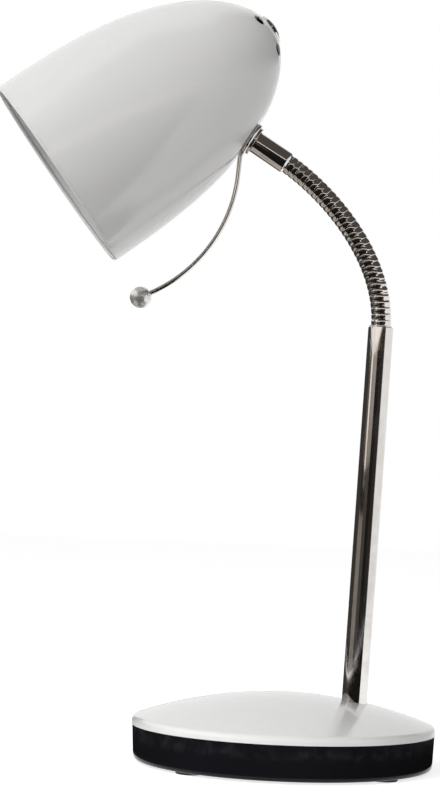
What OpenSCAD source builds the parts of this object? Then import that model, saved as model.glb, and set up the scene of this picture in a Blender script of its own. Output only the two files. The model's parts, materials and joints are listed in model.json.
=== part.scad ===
// Gooseneck desk lamp: round weighted base, straight tube stem, jointed bead neck,
// bullet-shaped shade with a wire handle, lampholder and bulb.
// Millimetres, +Z up. The origin is on the floor under the centre of the base, the stem
// and the neck lie in the XZ plane, and the shade's mouth faces -X and down.

/* [Base] */
// Diameter of the base cap
base_d = 151; // [136:1:190]
// Height of the pan's wall, from its underside to the cap's lip
pan_h = 17.1; // [15:0.1:26]
// How far the pan's wall stands back from the cap's lip
pan_step = 0.3; // [0:0.1:1]
// How much smaller the pan's radius is at its underside
pan_draft = 0.8; // [0:0.1:2]
// Thickness of the pan's wall at its underside
pan_wall = 2.4; // [1.8:0.1:4]
// Thickness of the pan's floor
pan_floor = 2; // [1.8:0.1:3]
// Rounding of the pan's lower edge
pan_edge_r = 2; // [1:0.1:2.4]
// Height of the rim that centres the cap
rim_h = 2; // [1:0.1:2.6]
// Number of ribs that centre the ballast
rib_count = 12; // [6:1:16]
// Thickness of a centring rib
rib_t = 2; // [1.2:0.1:3]
// Height of the cap, from its lip to the top of the dome
cap_rise = 17.2; // [13:0.1:24]
// Height of the cap's upright lip, where the dome would meet it
cap_lip_h = 3.5; // [3:0.1:5]
// Thickness of the cap's sheet
cap_wall = 0.9; // [0.6:0.1:1.4]
// Rounding between the cap's lip and its dome
cap_edge_r = 3; // [1.6:0.1:4]
// Diameter of the threaded pillars inside the cap
pillar_d = 8; // [7:0.1:10]

/* [Ballast and screws] */
// Space between the ballast's rim and the pan's wall
ballast_gap = 7; // [5:0.5:12]
// Thickness of the ballast plate
ballast_t = 8; // [7:0.1:10]
// Bevel on the ballast's edges
ballast_bevel = 1; // [0.4:0.1:2]
// Plate left between the stem and its washer
web_t = 3; // [2.4:0.1:3.4]
// Number of pan screws
screw_count = 3; // [3:1:5]
// Diameter of a pan screw
screw_d = 4; // [3:0.1:5]
// Length of a pan screw
screw_len = 18; // [14:0.5:20]
// Distance from the ballast's rim to the pan screws
screw_edge = 9; // [8:0.5:12]

/* [Feet and cord bush] */
// Diameter of a rubber foot
foot_d = 14; // [10:0.5:18]
// How far the feet stand out under the pan
foot_out = 1.2; // [0.8:0.1:3]
// How deep the feet sit in the pan's floor
foot_inset = 1; // [0.5:0.1:1.4]
// Number of feet
foot_count = 4; // [3:1:6]
// Diameter of the hole for the mains cord
cord_hole_d = 6.4; // [5:0.1:7.5]
// Direction in which the cord leaves the base, from the stem's side
bush_angle = 40; // [25:1:80]
// Height of the bush's centre above the pan's underside
bush_z = 7.4; // [7:0.1:8.5]

/* [Stem] */
// Outer diameter of the stem tube
stem_d = 12.7; // [12:0.1:16]
// Wall of the stem tube
stem_wall = 1.3; // [1:0.05:1.8]
// Length of the stem tube, from the ballast up
stem_len = 209.8; // [150:0.2:300]
// Distance from the base's centre to the stem's foot
stem_off = 34.3; // [20:0.1:40]
// Lean of the stem, away from the shade
stem_lean = 2.1; // [0:0.1:5]
// How deep the neck's socket sits in the stem tube
socket_in = 14; // [8:0.5:24]

/* [Gooseneck] */
// Diameter over the beads
neck_d = 10.2; // [9.6:0.1:12]
// Distance from one bead to the next
bead_pitch = 3.17; // [2.95:0.01:3.8]
// Gap between two beads
bead_gap = 0.75; // [0.7:0.05:1]
// How much a bead is thicker in its middle than at its ends
bead_crown = 0.2; // [0.1:0.05:0.5]
// Height of the bevel at each end of a bead
bead_bevel = 0.35; // [0.2:0.05:0.6]
// Depth of the groove between the two beads of a link
groove_depth = 0.9; // [0.7:0.05:1.1]
// Bore for the lead
neck_bore = 4.6; // [3:0.1:5]
// Wall between a link's cup and the bottom of its groove
cup_lip = 0.65; // [0.5:0.05:0.9]
// Clearance between a link's nose and the cup it turns in
nose_clear = 0.3; // [0.2:0.05:0.4]
// Total bend of the neck at rest
neck_turn = 60; // [0:0.1:64]
// How much more the neck bends at its foot than on average
neck_skew = 0.46; // [0:0.01:0.6]
// How much more it bends at both ends than midway
neck_ends = 0.5; // [0:0.01:0.6]

/* [Ferrule] */
// Diameter of the ferrule
ferrule_d = 11.4; // [11:0.1:14]
// Length of the ferrule, from the last joint to the washer
ferrule_len = 20; // [14:0.1:30]
// Diameter of the washer between ferrule and wire eye
flange_d = 15.2; // [14.8:0.1:20]
// Thickness of that washer
flange_t = 1.2; // [0.8:0.1:2]

/* [Handle] */
// Diameter of the handle's wire
wire_d = 2.4; // [1.8:0.1:3]
// Outer diameter of the wire eye
eye_d = 17.6; // [16.2:0.1:22]
// Bend of the wire just below its eye
kick_deg = 28; // [5:1:45]
// Radius of that bend
kick_r = 5.6; // [4:0.1:12]
// Straight run below that bend
handle_drop = 8.2; // [4:0.1:30]
// Radius of the handle's long curve
sweep_r = 74.6; // [50:0.2:120]
// Angle of the handle's long curve
sweep_deg = 60; // [30:1:80]
// Diameter of the ball on the wire's end
ball_d = 10.8; // [8:0.1:16]

/* [Shade] */
// Outer diameter of the shade's mouth
mouth_d = 104.7; // [92:0.1:124]
// Length of the shade, from its mouth to the point of its outline
shade_len = 133.3; // [122:0.1:160]
// How long the side stays full before it turns in
side_power = 2.744; // [2.2:0.002:3.2]
// How blunt the crown is
crown_power = 1.792; // [1.6:0.002:2.2]
// Thickness of the shade's sheet
shade_wall = 0.8; // [0.5:0.05:1.2]
// Radius of the rolled hem at the mouth
hem_r = 0.9; // [0.7:0.05:1.4]
// Distance along the axis from the mouth to the ferrule's seat
seat_up = 92; // [80:0.5:100]
// Depth of the flat that is pressed into the shade for the ferrule
seat_flat = 1.2; // [0.9:0.1:1.6]
// Depth of the flat on the crown
crown_flat = 1.6; // [1.4:0.1:2.2]
// Number of vent holes
vent_count = 5; // [3:1:6]
// Diameter of a vent hole
vent_d = 6.9; // [4:0.1:8]
// Distance of the vent holes from the shade's axis
vent_ring_r = 15; // [14:0.1:20]

/* [Crown screw] */
// Diameter of the screw's domed head
head_d = 13.7; // [12:0.1:15]
// Height of the dome
head_dome_h = 1.8; // [0.8:0.1:3]
// Height of the head's upright edge
head_edge_h = 0.4; // [0.2:0.1:1]
// Diameter of the bright washer under the head
crown_washer_d = 15.6; // [15:0.1:18]
// Length of the screw's shank
shank_len = 9; // [7:0.5:12]

/* [Lampholder and bulb] */
// Outer diameter of the lampholder's cap
holder_d = 39; // [37:0.5:44]
// Height of the lampholder's cap
holder_cap_h = 24; // [22:0.5:30]
// Length of the lampholder's body, from the cap's lower edge
holder_body_h = 28; // [22:0.5:32]
// Wall of the lampholder's mouldings
holder_wall = 2.2; // [1.8:0.1:3]
// Thickness of the contact insert
insert_t = 7; // [5:0.5:9]
// Diameter of the bulb's screw cap
lamp_thread_d = 26.2; // [25:0.1:26.4]
// Clearance around the bulb's screw cap
lamp_clear = 0.3; // [0.2:0.05:0.5]
// Length of the bulb's screw cap, with its end contact
lamp_cap_h = 26; // [23:0.5:28]
// Diameter of the bulb's globe
bulb_d = 45; // [40:0.5:50]
// Length of the bulb
bulb_len = 73; // [68:0.5:80]

/* [Hidden] */
$fn = 64;

// Clearances and small common sizes
fit = 0.05;           // radial clearance of a pressed or screwed pair
slack = 0.2;          // radial clearance of a loose hole or pocket
touch = 0.05;         // gap where a round wire lies on a flat
weld = 0.02;          // how far a wire joint stands out
cut = 1;              // how far a cutter runs past the face that it opens
thread_d = 10;        // lamp thread on nipple, ferrule tail and crown screw
thread_bore = 7;      // hole through the nipple
thread_bite = 0.15;   // how much a tapped hole is smaller than its screw
nut_flats = 14;       // width across the flats of a lamp nut
nut_t = 3;            // thickness of a lamp nut
tooth_washer_t = 0.7; // thickness of a toothed washer
tooth_margin = 0.6;   // how far its teeth reach past the nut's flats
steps = 36;           // points along half of a curved outline

// Base
base_r = base_d/2;
pan_low = foot_out;
pan_top = pan_low + pan_h;
floor_top = pan_low + pan_floor;
pan_top_r = base_r - pan_step;
pan_low_r = pan_top_r - pan_draft;
pan_in_r = pan_low_r - pan_wall;
rim_r = base_r - cap_wall - slack;
ballast_r = pan_in_r - ballast_gap;
ballast_top = floor_top + ballast_t;
screw_ring_r = ballast_r - screw_edge;
screw_turn = 180/screw_count;
screw_hole_end = pan_low + screw_len + 1;
head_sink = pan_floor - 0.2;
feet_ring_r = pan_in_r - foot_d/2;
foot_turn = 45;
bush_wall = 1.4;
bush_hole_r = cord_hole_d/2 + bush_wall;
wall_space = pan_wall + pan_draft;
cap_top = pan_top + cap_rise;
dome_h = cap_rise - cap_lip_h;
dome_r = (base_r*base_r + dome_h*dome_h)/(2*dome_h);
dome_z = cap_top - dome_r;
edge_x = base_r - cap_edge_r;
edge_z = dome_z + sqrt(pow(dome_r - cap_edge_r, 2) - edge_x*edge_x);
edge_deg = atan2(edge_z - dome_z, edge_x);

// Stem: its frame has +Z up the tube and its origin where the tube stands on the ballast
stem_r = stem_d/2;
stem_in_r = stem_r - stem_wall;
spot_depth = 0.5;
stem_z = ballast_top - spot_depth;
washer_r = 9.6;
washer_t = 1;
nipple_down = web_t + washer_t + tooth_washer_t + nut_t + 0.5;
nipple_up = 16;
nipple_r = stem_in_r - fit;
nut_z = -(web_t + washer_t + tooth_washer_t);

// Gooseneck: every link has its lower joint at its own origin and +Z towards the shade
link_count = 15;
link_beads = 2;
joint_count = link_count + 1;
link_len = link_beads*bead_pitch;
neck_r = neck_d/2;
bead_half = (bead_pitch - bead_gap)/2;
bead_arc_r = (bead_half*bead_half + bead_crown*bead_crown)/(2*bead_crown);
groove_r = neck_r - groove_depth;
bevel_w = 0.6;
bead_rim_r = neck_r - bevel_w;
cup_r = groove_r - cup_lip;
nose_r = cup_r - nose_clear;
half_gap = bead_gap/2;
bore_r = neck_bore/2;
shoulder_t = 0.6;
first_joint = stem_len + shoulder_t + bead_pitch;

function along(i) = 1 - (2*i - 1)/joint_count;
function bend(i) =
  neck_turn/joint_count*(1 + neck_skew*along(i) + neck_ends*(along(i)*along(i) - 1/3));
function tilt(i) = i == 0 ? stem_lean : tilt(i - 1) - bend(i);
function joint_at(i) =
  i == 1 ? [stem_off, 0, stem_z] + first_joint*[sin(stem_lean), 0, cos(stem_lean)]
         : joint_at(i - 1) + link_len*[sin(tilt(i - 1)), 0, cos(tilt(i - 1))];

// Head: its frame has its origin at the last joint and +Z along the ferrule
eye_z = ferrule_len + flange_t + touch + wire_d/2;
seat_z = eye_z + wire_d/2 + touch;
tail_end = seat_z + shade_wall + tooth_washer_t + nut_t + 1;
eye_ring_r = (eye_d - wire_d)/2;
shank_out = 1.4;

// Shade: its frame has its origin in the middle of the mouth and +Z to the crown
mouth_r = mouth_d/2;
function shade_r(z, r0, len) = r0*pow(1 - pow(z/len, side_power), 1/crown_power);
function shade_z(r, r0, len) = len*pow(1 - pow(r/r0, crown_power), 1/side_power);
function shade_slope(z) =
  (shade_r(z - 0.01, mouth_r, shade_len) - shade_r(z + 0.01, mouth_r, shade_len))/0.02;
seat_r = shade_r(seat_up, mouth_r, shade_len);
seat_tilt = atan(shade_slope(seat_up));
crown_z = shade_len - crown_flat;
vent_z = shade_z(vent_ring_r, mouth_r, shade_len);
vent_tilt = atan(shade_slope(vent_z));
vent_turn = 180/vent_count;

// Lampholder: sizes along the shade's axis, from the crown down
shank_r = thread_d/2;
holder_top = crown_z - shade_wall - tooth_washer_t;
holder_r = holder_d/2;
crown_in_r = shade_r(crown_z - shade_wall, mouth_r - shade_wall, shade_len - shade_wall);
boss_out = 0.6;
boss_r = crown_in_r + boss_out;
boss_h = 6;
holder_low = holder_top - holder_cap_h;
sleeve_up = 6;
sleeve_r = holder_r - holder_wall - fit;
shell_in_r = lamp_thread_d/2 + lamp_clear;
shell_t = 0.4;
shell_r = shell_in_r + shell_t;
body_in_r = shell_r + fit;
body_r = body_in_r + holder_wall;
insert_drop = 4;
insert_low = holder_low - insert_drop;
insert_top = insert_low + insert_t;
ledge_t = 1.4;
contact_t = 0.5;
strap_w = 6;
strap_end_r = sqrt(shell_r*shell_r - strap_w*strap_w/4);
insert_rim_t = 1.2;
terminal_y = 7;
tip_z = insert_low - 2*contact_t - touch;
shell_h = 19;
tip_r = 4.5;
tip_h = 1.5;
glass_h = 3;
globe_r = bulb_d/2;
globe_z = tip_z - bulb_len + globe_r;
globe_wall = 1;
cap_low = tip_z - lamp_cap_h;
neck_inset = 0.6;
neck_x = lamp_thread_d/2 - neck_inset;
neck_rise = 2;
neck_z = cap_low + neck_rise;
skin = 0.5;

// Points of an arc, from one angle to the other
function arc(x, z, r, from, to, n) =
  [for (i = [0:n]) let (a = from + (to - from)*i/n) [x + r*cos(a), z + r*sin(a)]];

function flip(list) = [for (i = [len(list) - 1:-1:0]) list[i]];

// Where a tangent from a point outside a circle touches it, as an angle
function touch_deg(x, z, r) = atan2(z, x) - acos(r/sqrt(x*x + z*z));

// ---------------------------------------------------------------- frames

module at_stem() {
  translate([stem_off, 0, stem_z]) rotate([0, stem_lean, 0]) children();
}

module at_joint(i) {
  translate(joint_at(i)) rotate([0, tilt(i), 0]) children();
}

module at_head() {
  at_joint(joint_count) children();
}

module at_shade() {
  at_head() translate([0, 0, seat_z - seat_flat]) rotate([0, 90 + seat_tilt, 0])
    translate([-seat_r, 0, -seat_up]) children();
}

// Inside the shade's frame: back to the head's frame
module head_in_shade() {
  translate([seat_r, 0, seat_up]) rotate([0, -(90 + seat_tilt), 0])
    translate([0, 0, seat_flat - seat_z]) children();
}

// ---------------------------------------------------------------- common shapes

module ring(outer_r, inner_r, h) {
  difference() {
    cylinder(r = outer_r, h = h);
    translate([0, 0, -cut]) cylinder(r = inner_r, h = h + 2*cut);
  }
}

module hex_nut(h) {
  bevel = 0.5;
  corner_r = nut_flats/2/cos(30);
  difference() {
    intersection() {
      cylinder(r = corner_r, h = h, $fn = 6);
      rotate_extrude()
        polygon([[0, 0], [corner_r - bevel, 0], [corner_r, bevel/2], [corner_r, h - bevel/2],
                 [corner_r - bevel, h], [0, h]]);
    }
    translate([0, 0, -cut]) cylinder(r = shank_r + fit, h = h + 2*cut);
  }
}

module toothed_washer(outer_r) {
  teeth = 12;
  tooth_depth = 1.4;
  notch_w = 1.2;
  difference() {
    ring(outer_r, shank_r + slack, tooth_washer_t);
    for (i = [0:teeth - 1]) rotate([0, 0, i*360/teeth])
      translate([outer_r - tooth_depth, -notch_w/2, -cut])
        cube([tooth_depth + cut, notch_w, tooth_washer_t + 2*cut]);
  }
}

// Half outline of one bead about its middle: a low crown between two bevelled ends
module bead() {
  intersection() {
    translate([neck_r - bead_arc_r, 0]) circle(r = bead_arc_r);
    polygon([[0, -bead_half], [bead_rim_r, -bead_half], [neck_r, bead_bevel - bead_half],
             [neck_r, bead_half - bead_bevel], [bead_rim_r, bead_half], [0, bead_half]]);
  }
}

// Half outline of a run of beads with a body between two heights
module bead_run(low, high, beads) {
  translate([0, low]) square([groove_r, high - low]);
  for (i = [0:beads - 1]) translate([0, (i + 0.5)*bead_pitch]) bead();
}

// Half outline of a nose: the part of a ball that lies below the link's end face
module nose() {
  intersection() {
    circle(r = nose_r);
    translate([0, -nose_r]) square([nose_r, nose_r + half_gap]);
  }
}

module cup(z) {
  translate([0, z]) circle(r = cup_r);
}

module lead_bore(low, high) {
  translate([-cut, low - cut]) square([bore_r + cut, high - low + 2*cut]);
}

// ---------------------------------------------------------------- base

function cap_skin(t) = concat(
  arc(0, dome_z, dome_r - t, 90, edge_deg, steps),
  arc(edge_x, edge_z, cap_edge_r - t, edge_deg, 0, 8));

module cap_blank() {
  rotate_extrude() polygon(concat(cap_skin(0), [[base_r, pan_top], [0, pan_top]]));
}

module on_screws() {
  for (i = [0:screw_count - 1])
    rotate([0, 0, screw_turn + i*360/screw_count]) translate([screw_ring_r, 0, 0]) children();
}

module base_cap() {
  pillar_r = pillar_d/2;
  rise = cap_top - ballast_top;
  color("white") difference() {
    union() {
      rotate_extrude() polygon(concat(cap_skin(0), [[base_r, pan_top], [base_r - cap_wall, pan_top]],
                                      flip(cap_skin(cap_wall))));
      on_screws() intersection() {
        translate([0, 0, ballast_top]) cylinder(r = pillar_r, h = rise);
        translate([-screw_ring_r, 0, 0]) union() {
          cap_blank();
          cylinder(r = base_r - cap_wall - slack, h = pan_top);
        }
      }
    }
    on_screws() translate([0, 0, ballast_top - cut])
      cylinder(r = screw_d/2 - thread_bite, h = screw_hole_end - ballast_top + cut);
    at_stem() cylinder(r = stem_r + slack, h = 2*cap_top);
  }
}

function pan_outline() = concat(
  [[0, pan_low]],
  arc(pan_low_r - pan_edge_r, pan_low + pan_edge_r, pan_edge_r, -90, 0, 8),
  [[pan_top_r, pan_top], [rim_r, pan_top], [rim_r, pan_top + rim_h],
   [pan_in_r, pan_top + rim_h], [pan_in_r, floor_top], [0, floor_top]]);

module on_feet() {
  for (i = [0:foot_count - 1])
    rotate([0, 0, foot_turn + i*360/foot_count]) translate([feet_ring_r, 0, 0]) children();
}

// The bush's axis, with +Z straight out of the pan's wall
module at_bush() {
  rotate([0, 0, bush_angle]) translate([pan_in_r, 0, pan_low + bush_z]) rotate([0, 90, 0])
    children();
}

module base_pan() {
  rib_root = 0.6;
  color([0.05, 0.05, 0.06]) difference() {
    union() {
      rotate_extrude() polygon(pan_outline());
      for (i = [0:rib_count - 1])
        rotate([0, 0, bush_angle + (i + 0.5)*360/rib_count])
          translate([ballast_r + slack, -rib_t/2, floor_top - rib_root])
            cube([ballast_gap - slack + rib_root, rib_t, ballast_t + rib_root]);
    }
    on_screws() translate([0, 0, pan_low - cut]) cylinder(r = screw_d/2 + slack, h = pan_floor + 2*cut);
    on_screws() translate([0, 0, pan_low - fit])
      cylinder(r1 = screw_d + fit, r2 = screw_d/2 + fit, h = head_sink + fit);
    on_feet() translate([0, 0, pan_low - cut]) cylinder(r = foot_d/2 + slack, h = foot_inset + cut);
    at_stem() translate([0, 0, -stem_z - cut]) cylinder(r = washer_r + 1, h = stem_z + cut);
    at_bush() translate([0, 0, -cut]) cylinder(r = bush_hole_r, h = wall_space + 2*cut);
  }
}

module ballast_plate() {
  channel_w = cord_hole_d + 2;
  channel_h = ballast_t - spot_depth - web_t;
  head_clear_r = screw_d/2 + 2*slack;
  color([0.35, 0.35, 0.37]) difference() {
    translate([0, 0, floor_top]) rotate_extrude()
      polygon([[0, 0], [ballast_r - ballast_bevel, 0], [ballast_r, ballast_bevel],
               [ballast_r, ballast_t - ballast_bevel], [ballast_r - ballast_bevel, ballast_t],
               [0, ballast_t]]);
    at_stem() cylinder(r = stem_r + slack, h = ballast_t);
    at_stem() translate([0, 0, -ballast_t]) cylinder(r = nipple_r + slack, h = 2*ballast_t);
    at_stem() translate([0, 0, -web_t - ballast_t]) cylinder(r = washer_r + slack, h = ballast_t);
    on_screws() translate([0, 0, floor_top - cut])
      cylinder(r = head_clear_r, h = ballast_t + 2*cut);
    translate([stem_off, 0, floor_top - cut]) rotate([0, 0, bush_angle])
      translate([0, -channel_w/2, 0]) cube([base_r, channel_w, channel_h + cut]);
  }
}

module pan_screws() {
  color([0.75, 0.75, 0.76]) on_screws() translate([0, 0, pan_low]) difference() {
    union() {
      cylinder(r1 = screw_d, r2 = screw_d/2, h = head_sink);
      cylinder(r = screw_d/2 - slack, h = screw_len);
    }
    for (a = [0, 90]) rotate([0, 0, a])
      translate([-screw_d/2, -screw_d/10, -cut]) cube([screw_d, screw_d/5, cut + head_sink/2]);
  }
}

module rubber_feet() {
  bevel = 0.4;
  foot_r = foot_d/2;
  foot_t = foot_out + foot_inset;
  color([0.12, 0.12, 0.12]) on_feet() rotate_extrude()
    polygon([[0, 0], [foot_r - bevel, 0], [foot_r, bevel], [foot_r, foot_t], [0, foot_t]]);
}

module cord_bush() {
  bush_r = bush_hole_r - fit;
  collar_r = bush_r + 1.2;
  collar_t = 0.9;
  collar_bevel = 0.4;
  clip_t = 1.2;
  clip_out = 0.5;
  clip_r = bush_r + clip_out;
  clip_seat = pan_in_r - sqrt(pan_in_r*pan_in_r - clip_r*clip_r) + fit;
  color([0.04, 0.04, 0.04]) difference() {
    union() {
      at_bush() translate([0, 0, -clip_t]) cylinder(r = bush_r, h = wall_space + clip_t + collar_t);
      at_bush() translate([0, 0, -clip_t])
        cylinder(r1 = bush_r, r2 = clip_r, h = clip_t - clip_seat);
      difference() {
        at_bush() {
          translate([0, 0, wall_space]) cylinder(r1 = collar_r, r2 = collar_r - collar_bevel, h = collar_t);
          translate([0, 0, wall_space - cut]) cylinder(r = collar_r, h = cut);
        }
        translate([0, 0, pan_low])
          cylinder(r1 = pan_low_r + fit, r2 = pan_top_r + fit, h = pan_h);
      }
    }
    at_bush() translate([0, 0, -clip_t - cut])
      cylinder(r = cord_hole_d/2, h = wall_space + clip_t + collar_t + 2*cut);
  }
}

// ---------------------------------------------------------------- stem

module stem_tube() {
  lip = 0.4;
  color([0.75, 0.76, 0.78]) at_stem() rotate_extrude()
    polygon([[stem_in_r, 0], [stem_r, 0], [stem_r, stem_len - lip], [stem_r - lip, stem_len],
             [stem_in_r, stem_len]]);
}

module stem_nipple() {
  color([0.72, 0.66, 0.45]) at_stem() translate([0, 0, -nipple_down])
    ring(nipple_r, thread_bore/2, nipple_down + nipple_up);
}

module stem_washer() {
  color([0.7, 0.7, 0.72]) at_stem() translate([0, 0, -web_t - washer_t])
    ring(washer_r, shank_r + slack, washer_t);
}

module stem_toothed_washer() {
  color([0.6, 0.6, 0.62]) at_stem() translate([0, 0, nut_z]) toothed_washer(nut_flats/2 + tooth_margin);
}

module stem_nut() {
  color([0.7, 0.7, 0.72]) at_stem() translate([0, 0, nut_z - nut_t]) hex_nut(nut_t);
}

// ---------------------------------------------------------------- gooseneck

module neck_socket() {
  shoulder_in = 0.5;
  shoulder_r = stem_r - shoulder_in;
  color([0.75, 0.76, 0.78]) at_stem() translate([0, 0, first_joint - bead_pitch]) rotate_extrude()
    difference() {
      union() {
        translate([0, -shoulder_t - socket_in]) square([stem_in_r - fit, socket_in + shoulder_t]);
        translate([0, -shoulder_t]) square([shoulder_r, shoulder_t]);
        bead_run(-shoulder_t, bead_pitch - half_gap, 1);
      }
      cup(bead_pitch);
      lead_bore(-shoulder_t - socket_in, bead_pitch);
    }
}

module neck_link(i) {
  color([0.75, 0.76, 0.78]) at_joint(i) rotate_extrude() difference() {
    union() {
      bead_run(half_gap, link_len - half_gap, link_beads);
      nose();
    }
    cup(link_len);
    lead_bore(-nose_r, link_len);
  }
}

// ---------------------------------------------------------------- head

module neck_ferrule() {
  edge = 0.5;
  bevel = 0.15;
  ferrule_r = ferrule_d/2;
  color([0.75, 0.76, 0.78]) at_head() rotate_extrude() difference() {
    union() {
      polygon([[0, half_gap], [groove_r, half_gap], [ferrule_r - edge, half_gap + edge],
               [ferrule_r, half_gap + 2*edge], [ferrule_r, ferrule_len - bevel],
               [ferrule_r - bevel, ferrule_len], [0, ferrule_len]]);
      translate([0, ferrule_len - cut]) square([shank_r, tail_end - ferrule_len + cut]);
      nose();
    }
    lead_bore(-nose_r, tail_end);
  }
}

module flange_washer() {
  color([0.72, 0.73, 0.75]) at_head() translate([0, 0, ferrule_len])
    ring(flange_d/2, shank_r + fit, flange_t);
}

// A bent piece of wire that starts along +Z and turns to +X or, with side -1, to -X
module wire_arc(r, deg, side) {
  translate([side*r, 0, 0]) rotate([0, 0, side > 0 ? 180 : 0]) rotate([90, 0, 0])
    rotate_extrude(angle = deg) translate([r, 0]) circle(d = wire_d);
}

module after_arc(r, deg, side) {
  translate([side*(r - r*cos(deg)), 0, r*sin(deg)]) rotate([0, side*deg, 0]) children();
}

// The wire's frame just below the eye, with +Z along the wire
module at_eye_exit() {
  at_head() translate([-eye_ring_r, 0, eye_z]) rotate([0, -90, 0]) children();
}

module at_ball() {
  at_eye_exit() translate([0, 0, shank_out]) after_arc(kick_r, kick_deg, -1)
    translate([0, 0, handle_drop]) after_arc(sweep_r, sweep_deg, 1)
      translate([0, 0, ball_d/2]) children();
}

// A full round at a joint of the wire, a hair wider than the wire itself
module wire_joint() {
  sphere(d = wire_d + 2*weld);
}

module handle_wire() {
  color([0.75, 0.76, 0.78]) {
    at_head() translate([0, 0, eye_z]) rotate_extrude() translate([eye_ring_r, 0]) circle(d = wire_d);
    at_eye_exit() cylinder(d = wire_d - 2*fit, h = shank_out);
    at_eye_exit() translate([0, 0, shank_out]) {
      wire_joint();
      wire_arc(kick_r, kick_deg, -1);
      after_arc(kick_r, kick_deg, -1) {
        wire_joint();
        cylinder(d = wire_d, h = handle_drop);
        translate([0, 0, handle_drop]) {
          wire_joint();
          wire_arc(sweep_r, sweep_deg, 1);
        }
      }
    }
    at_ball() translate([0, 0, -ball_d/2]) {
      wire_joint();
      cylinder(d = wire_d, h = ball_d/2);
    }
  }
}

module handle_ball() {
  color([0.78, 0.78, 0.76]) at_ball() difference() {
    sphere(d = ball_d);
    translate([0, 0, -ball_d]) cylinder(d = wire_d + 2*fit, h = ball_d + fit);
  }
}

// ---------------------------------------------------------------- shade

// Half outline of the bullet shape, closed on its axis
function bullet(r0, len, top) = concat(
  [for (i = [0:steps])
    let (z = top*sin(90*i/steps)) [shade_r(z, r0, len), z]],
  [[0, top], [0, 0]]);

module behind_seat(depth) {
  far = 2*shade_len;
  head_in_shade() translate([-far, -far, depth]) cube([2*far, 2*far, 2*far]);
}

module on_vents() {
  for (i = [0:vent_count - 1])
    rotate([0, 0, vent_turn + i*360/vent_count])
      translate([vent_ring_r, 0, vent_z]) rotate([0, 90 - vent_tilt, 0]) children();
}

module shade_shell() {
  vent_depth = 5;
  color([0.93, 0.93, 0.92]) at_shade() difference() {
    union() {
      intersection() {
        difference() {
          rotate_extrude() polygon(bullet(mouth_r, shade_len, crown_z));
          translate([0, 0, -cut]) intersection() {
            translate([0, 0, cut]) union() {
              rotate_extrude()
                polygon(bullet(mouth_r - shade_wall, shade_len - shade_wall, crown_z - shade_wall));
              translate([0, 0, -cut]) cylinder(r = mouth_r - shade_wall, h = 2*cut);
            }
            translate([0, 0, cut]) behind_seat(seat_z + shade_wall);
          }
        }
        behind_seat(seat_z);
      }
      rotate_extrude() translate([mouth_r - hem_r, hem_r]) circle(r = hem_r);
    }
    head_in_shade() translate([0, 0, ferrule_len]) cylinder(r = shank_r + slack, h = tail_end);
    translate([0, 0, holder_top]) cylinder(r = shank_r + slack, h = shade_len);
    on_vents() translate([0, 0, -vent_depth]) cylinder(d = vent_d, h = 2*vent_depth);
  }
}

module seat_toothed_washer() {
  color([0.6, 0.6, 0.62]) at_head() translate([0, 0, seat_z + shade_wall])
    toothed_washer(nut_flats/2 + tooth_margin);
}

module seat_nut() {
  color([0.7, 0.7, 0.72]) at_head() translate([0, 0, seat_z + shade_wall + tooth_washer_t])
    hex_nut(nut_t);
}

module crown_washer() {
  color([0.8, 0.8, 0.8]) at_shade() translate([0, 0, crown_z])
    ring(crown_washer_d/2, shank_r + slack, tooth_washer_t);
}

module crown_screw() {
  head_r = head_d/2;
  ball_r = (head_r*head_r + head_dome_h*head_dome_h)/(2*head_dome_h);
  rim_deg = acos(head_r/ball_r);
  head_z = crown_z + tooth_washer_t;
  color([0.04, 0.04, 0.05]) at_shade() translate([0, 0, head_z]) rotate_extrude()
    polygon(concat([[0, -shank_len], [shank_r, -shank_len], [shank_r, 0], [head_r, 0]],
                   arc(0, head_edge_h + head_dome_h - ball_r, ball_r, rim_deg, 90, 10)));
}

// ---------------------------------------------------------------- lampholder

module holder_washer() {
  color([0.6, 0.6, 0.62]) at_shade() translate([0, 0, holder_top]) toothed_washer(crown_in_r - slack);
}

module holder_cap() {
  shoulder = 14;
  shoulder_deg = 40;
  shoulder_end = shoulder + 2;
  in_r = holder_r - holder_wall;
  entry_r = 3.4;
  entry_up = 5;
  color([0.06, 0.06, 0.06]) at_shade() translate([0, 0, holder_top]) difference() {
    rotate_extrude() difference() {
      polygon(concat([[0, 0], [boss_r, 0], [boss_r, -boss_h]],
                     arc(boss_r, -shoulder, shoulder - boss_h, 90, shoulder_deg, 6),
                     [[holder_r, -shoulder_end], [holder_r, -holder_cap_h], [0, -holder_cap_h]]));
      polygon(concat([[0, -boss_h - holder_wall], [boss_r - holder_wall, -boss_h - holder_wall]],
                     arc(boss_r - holder_wall, -shoulder, shoulder - boss_h - holder_wall,
                         90, shoulder_deg, 6),
                     [[in_r, -shoulder_end], [in_r, -holder_cap_h - cut], [0, -holder_cap_h - cut]]));
    }
    translate([0, 0, -boss_h - 2*holder_wall]) cylinder(r = shank_r + fit, h = boss_h + 3*holder_wall);
    rotate([0, 90, 0]) translate([holder_cap_h - entry_up, 0, 0]) cylinder(r = entry_r, h = 2*holder_r);
  }
}

module holder_body() {
  rings = 5;
  ring_pitch = 3;
  ring_r = 0.8;
  collar_h = 3;
  body_low = holder_low - holder_body_h;
  color([0.06, 0.06, 0.06]) at_shade() rotate_extrude() difference() {
    union() {
      translate([0, body_low]) square([body_r, holder_body_h]);
      translate([0, holder_low - collar_h]) square([holder_r, collar_h]);
      translate([0, holder_low]) square([sleeve_r, sleeve_up]);
      for (i = [0:rings - 1])
        translate([body_r, body_low + ring_pitch*(i + 1)]) circle(r = ring_r);
    }
    translate([-cut, body_low - cut]) square([body_in_r + cut, insert_low - body_low + cut]);
    translate([-cut, insert_low - fit]) square([body_in_r - ledge_t + cut, holder_cap_h]);
    translate([-cut, insert_top]) square([sleeve_r - holder_wall + cut, holder_cap_h]);
  }
}

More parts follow.
